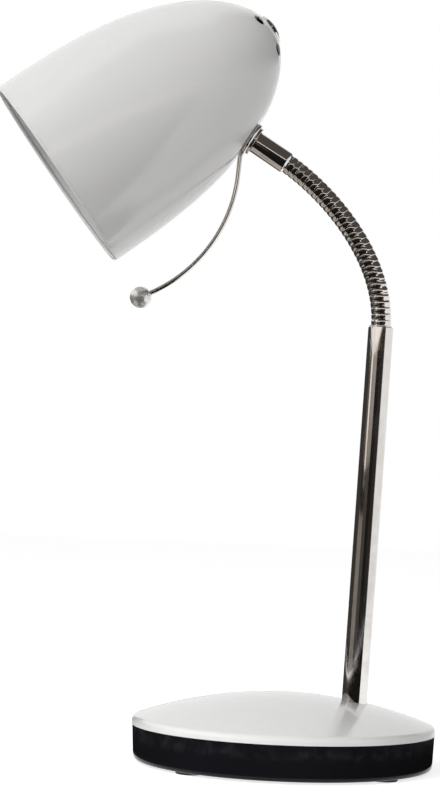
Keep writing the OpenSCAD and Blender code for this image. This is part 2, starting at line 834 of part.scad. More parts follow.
module holder_insert() {
  insert_r = body_in_r - ledge_t - fit;
  pocket_r = 1.7;
  color([0.9, 0.88, 0.82]) at_shade() translate([0, 0, insert_low]) difference() {
    union() {
      cylinder(r = insert_r, h = insert_t);
      translate([0, 0, insert_t]) cylinder(r = sleeve_r - holder_wall - fit, h = insert_rim_t);
    }
    for (s = [-1, 1]) translate([0, s*terminal_y, -cut])
      cylinder(r = pocket_r, h = insert_t + insert_rim_t + 2*cut);
  }
}

module centre_contact() {
  color([0.8, 0.66, 0.3]) at_shade() union() {
    translate([-strap_w/2, -strap_w/2, insert_low - contact_t])
      cube([strap_w, terminal_y + strap_w, contact_t]);
    translate([0, 0, insert_low - 2*contact_t]) cylinder(r = strap_w/2, h = contact_t);
  }
}

module side_contact() {
  strap_gap = 1.5;
  color([0.8, 0.66, 0.3]) at_shade() translate([-strap_w/2, -strap_end_r, insert_low - contact_t])
    cube([strap_w, strap_end_r - strap_w/2 - strap_gap, contact_t]);
}

module screw_shell() {
  shell_top = insert_low - contact_t - fit;
  color([0.82, 0.7, 0.35]) at_shade() translate([0, 0, shell_top - shell_h])
    ring(shell_r, shell_in_r, shell_h);
}

module terminal_screws() {
  screw_r = 1.5;
  head_r = 2.6;
  head_h = 1.6;
  slot_w = 0.6;
  screw_h = insert_t + insert_rim_t;
  color([0.75, 0.75, 0.76]) at_shade() for (s = [-1, 1]) translate([0, s*terminal_y, insert_low])
    difference() {
      union() {
        cylinder(r = screw_r, h = screw_h);
        translate([0, 0, screw_h]) cylinder(r = head_r, h = head_h);
      }
      translate([-head_r, -slot_w/2, screw_h + head_h/2]) cube([2*head_r, slot_w, head_h]);
    }
}

// ---------------------------------------------------------------- bulb

module bulb_cap() {
  thread_r = lamp_thread_d/2;
  bevel = 1;
  roof_t = 2;
  color([0.78, 0.78, 0.8]) at_shade() translate([0, 0, tip_z]) rotate_extrude() difference() {
    polygon([[0, 0], [tip_r, 0], [tip_r, -tip_h], [thread_r - bevel, -tip_h - glass_h],
             [thread_r, -tip_h - glass_h - bevel], [thread_r, -lamp_cap_h], [0, -lamp_cap_h]]);
    translate([-cut, -lamp_cap_h - cut])
      square([thread_r - skin + cut, lamp_cap_h - tip_h - glass_h - roof_t + cut]);
  }
}

module bulb_globe() {
  touch_a = touch_deg(neck_x, cap_low - globe_z, globe_r);
  inner_r = globe_r - globe_wall;
  inner_x = neck_x - globe_wall;
  inner_a = touch_deg(inner_x, cap_low - globe_z, inner_r);
  color([0.97, 0.97, 0.94]) at_shade() rotate_extrude() difference() {
    polygon(concat(arc(0, globe_z, globe_r, -90, touch_a, steps),
                   [[neck_x, cap_low], [neck_x, neck_z], [0, neck_z]]));
    polygon(concat(arc(0, globe_z, inner_r, -90, inner_a, steps),
                   [[inner_x, cap_low], [inner_x, neck_z + cut], [0, neck_z + cut]]));
  }
}

base_cap();
base_pan();
ballast_plate();
pan_screws();
rubber_feet();
cord_bush();
stem_tube();
stem_nipple();
stem_washer();
stem_toothed_washer();
stem_nut();
neck_socket();
neck_link(1);  // neck_link_01
neck_link(2);  // neck_link_02
neck_link(3);  // neck_link_03
neck_link(4);  // neck_link_04
neck_link(5);  // neck_link_05
neck_link(6);  // neck_link_06
neck_link(7);  // neck_link_07
neck_link(8);  // neck_link_08
neck_link(9);  // neck_link_09
neck_link(10);  // neck_link_10
neck_link(11);  // neck_link_11
neck_link(12);  // neck_link_12
neck_link(13);  // neck_link_13
neck_link(14);  // neck_link_14
neck_link(15);  // neck_link_15
neck_ferrule();
flange_washer();
handle_wire();
handle_ball();
shade_shell();
seat_toothed_washer();
seat_nut();
crown_screw();
crown_washer();
holder_washer();
holder_cap();
holder_body();
holder_insert();
centre_contact();
side_contact();
screw_shell();
terminal_screws();
bulb_cap();
bulb_globe();
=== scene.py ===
"""Gooseneck desk lamp: finishes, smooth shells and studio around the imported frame."""

import json
import logging
import math
from collections.abc import Callable, Sequence
from dataclasses import dataclass, field
from enum import Enum
from typing import ClassVar

import bpy
from bpy.types import Material, Mesh, Node, NodeInputs, NodeSocket, NodeTree, Object
from mathutils import Matrix, Vector


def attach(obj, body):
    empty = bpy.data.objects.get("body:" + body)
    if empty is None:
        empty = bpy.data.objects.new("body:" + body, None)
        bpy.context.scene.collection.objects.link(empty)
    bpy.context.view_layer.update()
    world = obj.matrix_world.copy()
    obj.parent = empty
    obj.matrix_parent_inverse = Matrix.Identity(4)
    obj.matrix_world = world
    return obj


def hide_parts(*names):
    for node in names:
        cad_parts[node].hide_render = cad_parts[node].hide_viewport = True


MM = 0.001
CRISP = 38.0  # edges that bend more than this, in degrees, stay crisp
LOG = logging.getLogger("desk_lamp")
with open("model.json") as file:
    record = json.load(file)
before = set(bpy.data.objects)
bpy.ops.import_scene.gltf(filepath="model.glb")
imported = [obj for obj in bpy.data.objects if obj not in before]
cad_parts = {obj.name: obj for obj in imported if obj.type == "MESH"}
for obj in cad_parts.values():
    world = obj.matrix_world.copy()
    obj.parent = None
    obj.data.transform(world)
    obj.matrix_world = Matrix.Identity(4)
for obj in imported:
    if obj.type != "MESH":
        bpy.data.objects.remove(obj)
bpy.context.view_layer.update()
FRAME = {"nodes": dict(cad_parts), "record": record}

Point2 = tuple[float, float]
Point3 = tuple[float, float, float]
Colour = tuple[float, float, float]


class Body(Enum):
    """The bodies that pieces ride on, apart from the neck's links."""

    BASE = "base_stem"
    HEAD = "head"
    BULB = "bulb"


class Slot(Enum):
    """The record's material slots."""

    PAINT = "white_gloss_paint"
    MOULDING = "black_gloss_moulding"
    CHROME = "chrome_plate"
    SATIN = "satin_steel"
    ZINC = "zinc_plate"
    CASTING = "cast_ballast"
    RUBBER = "foot_rubber"
    SOFT_BLACK = "soft_black"
    BRASS = "thread_brass"
    PHENOLIC = "black_phenolic"
    CERAMIC = "pale_ceramic"
    CAP_METAL = "lamp_cap_metal"
    GLASS = "frosted_glass"


# --- layout


@dataclass(frozen=True)
class Layout:
    """Places the lamp's own frames, from the same sizes as the solids, in millimetres."""

    stem_off: float = 34.3
    stem_lean: float = 2.1
    stem_len: float = 209.8
    stem_z: float = 10.7
    shoulder: float = 0.6
    bead_pitch: float = 3.17
    joints: int = 16
    turn: float = 60.0
    skew: float = 0.46
    ends: float = 0.5
    ferrule_len: float = 20.0
    flange_t: float = 1.2
    touch: float = 0.05
    wire_d: float = 2.4
    mouth_r: float = 52.35
    shade_len: float = 133.3
    side_power: float = 2.744
    crown_power: float = 1.792
    seat_up: float = 92.0
    seat_flat: float = 1.2

    def bend(self, i: int) -> float:
        """Bend of one joint at rest.

        Args:
            i: the joint's number, from 1 at the stem.

        Returns:
            The angle in degrees.
        """
        u = 1 - (2 * i - 1) / self.joints
        return self.turn / self.joints * (1 + self.skew * u + self.ends * (u * u - 1 / 3))

    def tilt(self, i: int) -> float:
        """Tilt of link i from upright, in degrees; link 0 is the stem."""
        return self.stem_lean - sum(self.bend(k) for k in range(1, i + 1))

    def stem(self) -> Matrix:
        """Frame of the stem, with its origin where the tube stands on the ballast."""
        return moved(self.stem_off, 0, self.stem_z) @ turned(self.stem_lean)

    def joint(self, i: int) -> Matrix:
        """Frame of a joint, with +Z towards the shade.

        Args:
            i: the joint's number, from 1 at the stem.

        Returns:
            The frame.
        """
        place = self.stem() @ Vector((0, 0, (self.stem_len + self.shoulder + self.bead_pitch) * MM))
        for k in range(1, i):
            place = place + turned(self.tilt(k)) @ Vector((0, 0, 2 * self.bead_pitch * MM))
        return Matrix.Translation(place) @ turned(self.tilt(i))

    def head(self) -> Matrix:
        """Frame of the head, at the last joint."""
        return self.joint(self.joints)

    def shade_r(self, z: float) -> float:
        """Radius of the shade's outline at a height above its mouth."""
        share = min(1.0, max(0.0, z / self.shade_len))
        return self.mouth_r * (1 - share**self.side_power) ** (1 / self.crown_power)

    def shade_z(self, r: float) -> float:
        """Height of the shade's outline at a radius."""
        return self.shade_len * (1 - (r / self.mouth_r) ** self.crown_power) ** (1 / self.side_power)

    def slope(self, z: float) -> float:
        """Angle of the outline's normal above the mouth's plane, in degrees."""
        step = 0.01
        return math.degrees(math.atan((self.shade_r(z - step) - self.shade_r(z + step)) / (2 * step)))

    def eye_z(self) -> float:
        """Height of the wire eye's middle in the head's frame."""
        return self.ferrule_len + self.flange_t + self.touch + self.wire_d / 2

    def seat_z(self) -> float:
        """Height of the flat that the shade rests with, in the head's frame."""
        return self.eye_z() + self.wire_d / 2 + self.touch

    def shade(self) -> Matrix:
        """Frame of the shade.

        Returns:
            The frame, with its origin in the middle of the mouth and +Z to the crown.
        """
        return (
            self.head()
            @ moved(0, 0, self.seat_z() - self.seat_flat)
            @ turned(90 + self.slope(self.seat_up))
            @ moved(-self.shade_r(self.seat_up), 0, -self.seat_up)
        )


def moved(x: float, y: float, z: float) -> Matrix:
    """A translation, from millimetres."""
    return Matrix.Translation((x * MM, y * MM, z * MM))


def turned(degrees: float, axis: str = "Y") -> Matrix:
    """A rotation about a row axis."""
    return Matrix.Rotation(math.radians(degrees), 4, axis)


LAYOUT = Layout()


# --- mesh tools


def arc(x: float, z: float, r: float, start: float, end: float, count: int) -> list[Point2]:
    """Points of an arc in the half plane of a lathe.

    Args:
        x: radius of the arc's centre.
        z: height of the arc's centre.
        r: radius of the arc.
        start: first angle in degrees.
        end: last angle in degrees.
        count: number of steps.

    Returns:
        The points as (radius, height).
    """
    steps = (math.radians(start + (end - start) * i / count) for i in range(count + 1))
    return [(x + r * math.cos(a), z + r * math.sin(a)) for a in steps]


def ring(x: float, z: float, r: float, count: int) -> list[Point2]:
    """Points of a full circle in the half plane of a lathe."""
    return arc(x, z, r, 0, 360, count)[:-1]


def eased(points: Sequence[Point2], count: int) -> list[Point2]:
    """Rounds the inner corners of an open outline, from one side's middle to the next one's.

    Args:
        points: the outline's corners.
        count: number of steps at each corner.

    Returns:
        The new points, the first and the last ones kept.
    """
    made = [points[0]]
    for a, b, c in zip(points, points[1:], points[2:]):
        first = ((a[0] + b[0]) / 2, (a[1] + b[1]) / 2)
        last = ((b[0] + c[0]) / 2, (b[1] + c[1]) / 2)
        for i in range(count + 1):
            t = i / count
            k = ((1 - t) ** 2, 2 * t * (1 - t), t * t)
            made.append(tuple(k[0] * first[n] + k[1] * b[n] + k[2] * last[n] for n in (0, 1)))
    return [*made, points[-1]]


def soft_min(a: float, b: float, width: float) -> float:
    """The smaller of two values, with a soft change where they are close."""
    near = max(width - abs(a - b), 0.0) / width
    return min(a, b) - near * near * width / 4


@dataclass(frozen=True)
class Zone:
    """A stretch of an outline, by radius or by height, with steps of its own length."""

    step: float
    radii: Point2 = (-math.inf, math.inf)
    heights: Point2 = (-math.inf, math.inf)

    def holds(self, p: Point2) -> bool:
        """Whether a point lies in the stretch."""
        return self.radii[0] < p[0] < self.radii[1] and self.heights[0] < p[1] < self.heights[1]


def resampled(points: Sequence[Point2], zones: Sequence[Zone], coarse: float) -> list[Point2]:
    """Walks along an outline with steps of a chosen length.

    Args:
        points: the outline.
        zones: the stretches with their own steps; the first one that holds a point counts.
        coarse: length of the steps elsewhere.

    Returns:
        The new points, the first and the last ones kept.
    """

    def spacing(p: Point2) -> float:
        """Length of the step from a point."""
        return next((zone.step for zone in zones if zone.holds(p)), coarse)

    made = [points[0]]
    left = spacing(points[0])
    for a, b in zip(points, points[1:]):
        length = math.dist(a, b)
        done = 0.0
        while length - done >= left:
            done += left
            k = done / length
            made.append((a[0] + (b[0] - a[0]) * k, a[1] + (b[1] - a[1]) * k))
            left = spacing(made[-1])
        left -= length - done
    shortest = 0.4 * spacing(points[-1])
    if math.dist(made[-1], points[-1]) < shortest:
        made.pop()
    return [*made, points[-1]]


def smoothed(mesh: Mesh, sharp: float) -> None:
    """Shades a mesh smooth, apart from edges that bend more than an angle in degrees."""
    mesh.polygons.foreach_set("use_smooth", [True] * len(mesh.polygons))
    mesh.set_sharp_from_angle(angle=math.radians(sharp))


def piece(
    name: str, verts: list[Vector], faces: Sequence[Sequence[int]], place: Matrix, sharp: float = CRISP
) -> Object:
    """Makes a smooth-shaded mesh piece.

    Args:
        name: name of the object.
        verts: corners in millimetres, in the piece's own frame.
        faces: corner numbers of each face.
        place: the piece's frame, which is worked into the mesh.
        sharp: edges that bend more than this, in degrees, stay crisp.

    Returns:
        The new object.
    """
    mesh = bpy.data.meshes.new(name)
    mesh.from_pydata([place @ (v * MM) for v in verts], [], faces)
    mesh.validate()
    smoothed(mesh, sharp)
    made = bpy.data.objects.new(name, mesh)
    bpy.context.scene.collection.objects.link(made)
    return made


def rows_of(count: int, width: int) -> list[range]:
    """Corner numbers of rows that follow each other."""
    return [range(i * width, (i + 1) * width) for i in range(count)]


def skin(rings: Sequence[Sequence[int]], loop: bool = False, wrap: bool = True) -> list[list[int]]:
    """Joins rings of corners by faces; a corner that repeats, as at a pole, counts once in a face.

    Args:
        rings: the corner numbers of each ring.
        loop: whether the last ring joins the first.
        wrap: whether each ring closes on itself.

    Returns:
        The corner numbers of each face.
    """
    pairs = list(zip(rings, rings[1:]))
    if loop:
        pairs.append((rings[-1], rings[0]))
    faces = []
    for low, high in pairs:
        for k in range(len(low) if wrap else len(low) - 1):
            n = (k + 1) % len(low)
            face = list(dict.fromkeys((low[k], low[n], high[n], high[k])))
            if len(face) > 2:
                faces.append(face)
    return faces


def lathe(
    name: str,
    outline: Sequence[Point2],
    place: Matrix,
    count: int = 96,
    loop: bool = False,
    sharp: float = CRISP,
) -> Object:
    """Turns an outline about +Z; points on the axis become poles.

    Args:
        name: name of the object.
        outline: (radius, height) points, seen with the solid on the left when walking along.
        place: the piece's frame.
        count: number of steps around.
        loop: whether the outline closes on itself.
        sharp: edges that bend more than this, in degrees, stay crisp.

    Returns:
        The new object.
    """
    pole_r = 1e-4
    verts: list[Vector] = []
    rings: list[Sequence[int]] = []
    for r, z in outline:
        first = len(verts)
        if r < pole_r:
            verts.append(Vector((0, 0, z)))
            rings.append([first] * count)
            continue
        for k in range(count):
            a = math.tau * k / count
            verts.append(Vector((r * math.cos(a), r * math.sin(a), z)))
        rings.append(range(first, first + count))
    return piece(name, verts, skin(rings, loop), place, sharp)


@dataclass(frozen=True)
class RoundHole:
    """A round hole through a turned sheet: a point on its axis, the axis and the radius."""

    centre: Vector
    axis: Vector
    radius: float

    def away(self, p: Vector) -> Vector:
        """The part of a point's distance from the centre that is square to the axis."""
        d = p - self.centre
        return d - self.axis * d.dot(self.axis)

    def holds(self, p: Vector) -> bool:
        """Whether a point lies in the hole, on the hole's own side of the sheet."""
        return self.away(p).length < self.radius and (p - self.centre).length < 2 * self.radius

    def snapped(self, p: Vector) -> Vector:
        """A point moved to the hole's edge."""
        off = self.away(p)
        return p + off * (self.radius / max(off.length, 1e-6) - 1)


def thickened(shell: Object, wall: float, even: bool) -> Object:
    """Gives a sheet its thickness on the inner side, as real faces.

    Args:
        shell: the sheet.
        wall: its thickness in millimetres.
        even: whether the thickness stays even where the sheet bends.

    Returns:
        The same object, with its crisp edges marked again.
    """
    thick = shell.modifiers.new("wall", "SOLIDIFY")
    thick.thickness = wall * MM
    thick.offset = -1
    thick.use_even_offset = even
    graph = bpy.context.evaluated_depsgraph_get()
    mesh = bpy.data.meshes.new_from_object(shell.evaluated_get(graph))
    old = shell.data
    shell.modifiers.clear()
    shell.data = mesh
    bpy.data.meshes.remove(old)
    mesh.name = shell.name
    smoothed(mesh, CRISP)
    return shell


def sheet(
    name: str,
    outline: Sequence[Point2],
    place: Matrix,
    wall: float,
    holes: Sequence[RoundHole],
    press: Callable[[Vector], Vector],
    count: int,
) -> Object:
    """Turns a pressed sheet with round holes and gives it its thickness.

    Args:
        name: name of the object.
        outline: the outer face's (radius, height) points.
        place: the piece's frame.
        wall: thickness of the sheet, put on the inner side.
        holes: the holes to cut.
        press: moves a point of the turned face to where the press puts it.
        count: number of steps around.

    Returns:
        The new object, with its thickness as real faces.
    """
    made = lathe(name, outline, Matrix.Identity(4), count)
    mesh = made.data
    points = [press(v.co / MM) for v in mesh.vertices]
    kept = []
    for face in mesh.polygons:
        if not all(any(h.holds(points[i]) for h in holes) for i in face.vertices):
            kept.append(list(face.vertices))
    for i, p in enumerate(points):
        for hole in holes:
            if hole.holds(p):
                points[i] = hole.snapped(p)
    used = sorted({i for face in kept for i in face})
    number = {old: new for new, old in enumerate(used)}
    bpy.data.objects.remove(made)
    bpy.data.meshes.remove(mesh)
    faces = [[number[i] for i in face] for face in kept]
    return thickened(piece(name, [points[i] for i in used], faces, place), wall, even=True)


def swept(name: str, path: Sequence[Vector], radius: float, place: Matrix) -> Object:
    """Sweeps a round wire with flat ends along a path that lies in one plane.

    Args:
        name: name of the object.
        path: the wire's middle line in millimetres.
        radius: radius of the wire.
        place: the piece's frame.

    Returns:
        The new object.
    """
    sides = 20
    turns = ((b - a).cross(c - b) for a, b, c in zip(path, path[1:], path[2:]))
    plane = sum(turns, Vector((0, 0, 0))).normalized()
    verts: list[Vector] = []
    for before, p, after in zip([path[0], *path], path, [*path[1:], path[-1]]):
        along = (after - before).normalized()
        side = along.cross(plane).normalized()
        for k in range(sides):
            a = math.tau * k / sides
            verts.append(p + side * (radius * math.cos(a)) + plane * (radius * math.sin(a)))
    rings = rows_of(len(path), sides)
    ends = [list(rings[0]), list(reversed(rings[-1]))]
    return piece(name, verts, [*skin(rings[::-1]), *ends], place, sharp=50)


@dataclass(frozen=True)
class RolledThread:
    """A round thread, rolled into a short tube of sheet; it fades out at both ends."""

    middle: float
    depth: float
    low: float
    high: float
    wall: float
    pitch: float = 3.6

    def make(self, name: str, place: Matrix) -> Object:
        """Makes the tube, with its thickness on the inner side.

        Args:
            name: name of the object.
            place: the piece's frame.

        Returns:
            The new object.
        """
        around = 72
        row_height = 0.3
        fade = self.pitch / 2
        rows = round((self.high - self.low) / row_height)
        verts = []
        for i in range(rows + 1):
            z = self.low + (self.high - self.low) * i / rows
            grip = min(1.0, (z - self.low) / fade, (self.high - z) / fade)
            for k in range(around):
                a = math.tau * k / around
                r = self.middle + self.depth * grip * math.cos(math.tau * z / self.pitch - a)
                verts.append(Vector((r * math.cos(a), r * math.sin(a), z)))
        return thickened(piece(name, verts, skin(rows_of(rows + 1, around)), place), self.wall, even=False)


# --- shader groups


class Nodes:
    """Adds and links shader nodes in one tree."""

    columns: ClassVar[int] = 12
    step: ClassVar[tuple[int, int]] = (190, -260)

    def __init__(self, tree: NodeTree) -> None:
        """Keeps the tree to fill."""
        self.tree = tree

    def fill(self, inputs: NodeInputs, values: dict[str, object]) -> None:
        """Fills a node's sockets.

        Args:
            inputs: the node's inputs.
            values: socket name or number to a plain value or to another node's output socket.
        """
        for key, value in values.items():
            socket = inputs[int(key) if key.isdigit() else key]
            if isinstance(value, NodeSocket):
                self.tree.links.new(value, socket)
            else:
                socket.default_value = value

    def add(self, kind: str, values: dict[str, object] | None = None, **settings: object) -> Node:
        """Adds a node.

        Args:
            kind: the node's type name, without its prefix.
            values: what fills its sockets.
            settings: properties of the node.

        Returns:
            The node.
        """
        node = self.tree.nodes.new("ShaderNode" + kind)
        row, column = divmod(len(self.tree.nodes), self.columns)
        node.location = (self.step[0] * column, self.step[1] * row)
        for key, value in settings.items():
            setattr(node, key, value)
        self.fill(node.inputs, values or {})
        return node

    def math(self, operation: str, a: object, b: object) -> NodeSocket:
        """A maths node's result."""
        return self.add("Math", {"0": a, "1": b}, operation=operation).outputs[0]

    def ramp(
        self, value: object, low: float, high: float, to_low: float = 0.0, to_high: float = 1.0
    ) -> NodeSocket:
        """Maps a value smoothly from one range to another."""
        ends = {"Value": value, "From Min": low, "From Max": high, "To Min": to_low, "To Max": to_high}
        return self.add("MapRange", ends, interpolation_type="SMOOTHSTEP").outputs["Result"]

    def noise(self, place: object, scale: object, **others: float) -> NodeSocket:
        """A noise texture's value; others are its inputs by name."""
        return self.add("TexNoise", {"Vector": place, "Scale": scale, **others}).outputs["Fac"]

    def mix(self, factor: object, a: object, b: object) -> NodeSocket:
        """Mixes two colours.

        Args:
            factor: share of the second colour.
            a: first colour, plain or an output socket.
            b: second colour, plain or an output socket.

        Returns:
            The mixed colour.
        """
        first, second = (v if isinstance(v, NodeSocket) else (*v, 1.0) for v in (a, b))
        return self.add("Mix", {"0": factor, "6": first, "7": second}, data_type="RGBA").outputs[2]


def new_group(name: str, ins: dict[str, float], outs: Sequence[str]) -> tuple[Nodes, Node, Node]:
    """Makes an empty shader node group with named number sockets.

    Args:
        name: the group's name.
        ins: each input's name and default value.
        outs: the outputs' names.

    Returns:
        The node maker, the group's input node and its output node.
    """
    tree = bpy.data.node_groups.new(name, "ShaderNodeTree")
    for key, value in ins.items():
        socket = tree.interface.new_socket(key, in_out="INPUT", socket_type="NodeSocketFloat")
        socket.default_value = value
    for key in outs:
        tree.interface.new_socket(key, in_out="OUTPUT", socket_type="NodeSocketFloat")
    return Nodes(tree), tree.nodes.new("NodeGroupInput"), tree.nodes.new("NodeGroupOutput")


def grain_group() -> NodeTree:
    """Fine uneven grain, and larger soft clouds.

    Returns:
        The group, with outputs Fine and Cloud from 0 to 1.
    """
    ins = {"Fine Scale": 900.0, "Cloud Scale": 18.0}
    nodes, given, out = new_group("fine_grain", ins, ("Fine", "Cloud"))
    place = nodes.add("TexCoord").outputs["Object"]
    fine = nodes.noise(place, given.outputs["Fine Scale"], Detail=3.0, Roughness=0.6)
    cloud = nodes.noise(place, given.outputs["Cloud Scale"], Detail=4.0, Roughness=0.55)
    nodes.fill(out.inputs, {"Fine": fine, "Cloud": cloud})
    return nodes.tree


def wear_group() -> NodeTree:
    """Wear on outer edges, broken up by noise.

    Returns:
        The group, with output Mask from 0 to 1.
    """
    ins = {"Amount": 0.5, "Start": 0.52, "Patch Scale": 160.0}
    nodes, given, out = new_group("edge_wear", ins, ("Mask",))
    pointed = nodes.add("NewGeometry").outputs["Pointiness"]
    start = given.outputs["Start"]
    full = nodes.math("ADD", start, 0.06)
    edge = nodes.add("MapRange", {"Value": pointed, "From Min": start, "From Max": full}).outputs["Result"]
    patch = nodes.noise(nodes.add("TexCoord").outputs["Object"], given.outputs["Patch Scale"], Detail=4.0)
    broken = nodes.math("MULTIPLY", edge, nodes.ramp(patch, 0.35, 0.65))
    nodes.fill(out.inputs, {"Mask": nodes.math("MULTIPLY", broken, given.outputs["Amount"])})
    return nodes.tree


def dust_group() -> NodeTree:
    """A thin veil of dust on faces that look up.

    Returns:
        The group, with output Mask from 0 to 1.
    """
    nodes, given, out = new_group("dust_veil", {"Amount": 0.1, "Speck Scale": 420.0}, ("Mask",))
    normal = nodes.add("NewGeometry").outputs["Normal"]
    upward = nodes.ramp(nodes.add("SeparateXYZ", {"Vector": normal}).outputs["Z"], 0.15, 1.0)
    place = nodes.add("TexCoord").outputs["Object"]
    specks = nodes.noise(place, given.outputs["Speck Scale"], Detail=5.0, Roughness=0.7)
    veil = nodes.math("MULTIPLY", upward, nodes.ramp(specks, 0.4, 0.75))
    nodes.fill(out.inputs, {"Mask": nodes.math("MULTIPLY", veil, given.outputs["Amount"])})
    return nodes.tree


def smear_group() -> NodeTree:
    """Long hair-fine wiping marks and soft finger smears.

    Returns:
        The group, with outputs Marks and Smear from 0 to 1.
    """
    ins = {"Mark Scale": 260.0, "Smear Scale": 34.0}
    nodes, given, out = new_group("wiping_marks", ins, ("Marks", "Smear"))
    place = nodes.add("TexCoord").outputs["Object"]
    along_z = (1.0, 1.0, 0.06)
    drawn = nodes.add("VectorMath", {"0": place, "1": along_z}, operation="MULTIPLY").outputs[0]
    marks = nodes.noise(drawn, given.outputs["Mark Scale"], Detail=6.0, Roughness=0.75)
    smear = nodes.noise(place, given.outputs["Smear Scale"], Detail=3.0, Distortion=1.4)
    nodes.fill(out.inputs, {"Marks": nodes.ramp(marks, 0.55, 0.72), "Smear": nodes.ramp(smear, 0.4, 0.7)})
    return nodes.tree


@dataclass
class Effects:
    """The shared shader groups, made once."""

    grain: NodeTree = field(default_factory=grain_group)
    wear: NodeTree = field(default_factory=wear_group)
    dust: NodeTree = field(default_factory=dust_group)
    smear: NodeTree = field(default_factory=smear_group)

    @staticmethod
    def use(nodes: Nodes, tree: NodeTree, **values: float) -> Node:
        """Places a group in a material; in the inputs' names, _ stands for a space."""
        inputs = {key.replace("_", " "): value for key, value in values.items()}
        return nodes.add("Group", inputs, node_tree=tree)


# --- finishes


@dataclass(frozen=True)
class Finish:
    """One finish: its colours, its gloss and how strongly the shared effects show."""

    slot: Slot
    name: str
    colour: Colour
    cloud_colour: Colour
    roughness: float
    rough_spread: float = 0.05
    metallic: float = 0.0
    coat: float = 0.0
    coat_roughness: float = 0.05
    specular: float = 0.5
    transmission: float = 0.0
    ior: float = 1.5
    sheen: float = 0.0
    fine_scale: float = 900.0
    cloud_scale: float = 18.0
    bump: float = 0.05
    bump_mm: float = 0.02
    wear: float = 0.0
    wear_colour: Colour = (0.5, 0.5, 0.5)
    marks: float = 0.0
    dust: float = 0.0
    dust_colour: Colour = (0.55, 0.53, 0.5)
    dust_roughness: float = 0.5
    colour_band: ClassVar[tuple[float, float]] = (0.3, 0.7)
    rough_band: ClassVar[tuple[float, float]] = (0.25, 0.75)

    def material(self, effects: Effects) -> Material:
        """Makes the finish's material.

        Args:
            effects: the shared shader groups.

        Returns:
            The material.
        """
        made = bpy.data.materials.new(self.name)
        made.use_nodes = True
        nodes = Nodes(made.node_tree)
        grain = effects.use(nodes, effects.grain, Fine_Scale=self.fine_scale, Cloud_Scale=self.cloud_scale)
        cloud = grain.outputs["Cloud"]
        colour = nodes.mix(nodes.ramp(cloud, *self.colour_band), self.colour, self.cloud_colour)
        half = self.rough_spread / 2
        rough = nodes.ramp(cloud, *self.rough_band, self.roughness - half, self.roughness + half)
        if self.marks:
            smear = effects.use(nodes, effects.smear).outputs
            both = nodes.math("MAXIMUM", smear["Marks"], smear["Smear"])
            rough = nodes.math("ADD", rough, nodes.math("MULTIPLY", both, self.marks))
        if self.wear:
            edge = effects.use(nodes, effects.wear, Amount=self.wear).outputs["Mask"]
            colour = nodes.mix(edge, colour, self.wear_colour)
        if self.dust:
            veil = effects.use(nodes, effects.dust, Amount=self.dust).outputs["Mask"]
            colour = nodes.mix(veil, colour, self.dust_colour)
            rough = nodes.math("ADD", rough, nodes.math("MULTIPLY", veil, self.dust_roughness))
        raised = {"Strength": self.bump, "Distance": self.bump_mm * MM, "Height": grain.outputs["Fine"]}
        nodes.fill(
            made.node_tree.nodes["Principled BSDF"].inputs,
            {
                "Base Color": colour,
                "Roughness": rough,
                "Normal": nodes.add("Bump", raised).outputs["Normal"],
                "Metallic": self.metallic,
                "Coat Weight": self.coat,
                "Coat Roughness": self.coat_roughness,
                "Specular IOR Level": self.specular,
                "Transmission Weight": self.transmission,
                "IOR": self.ior,
                "Sheen Weight": self.sheen,
            },
        )
        return made


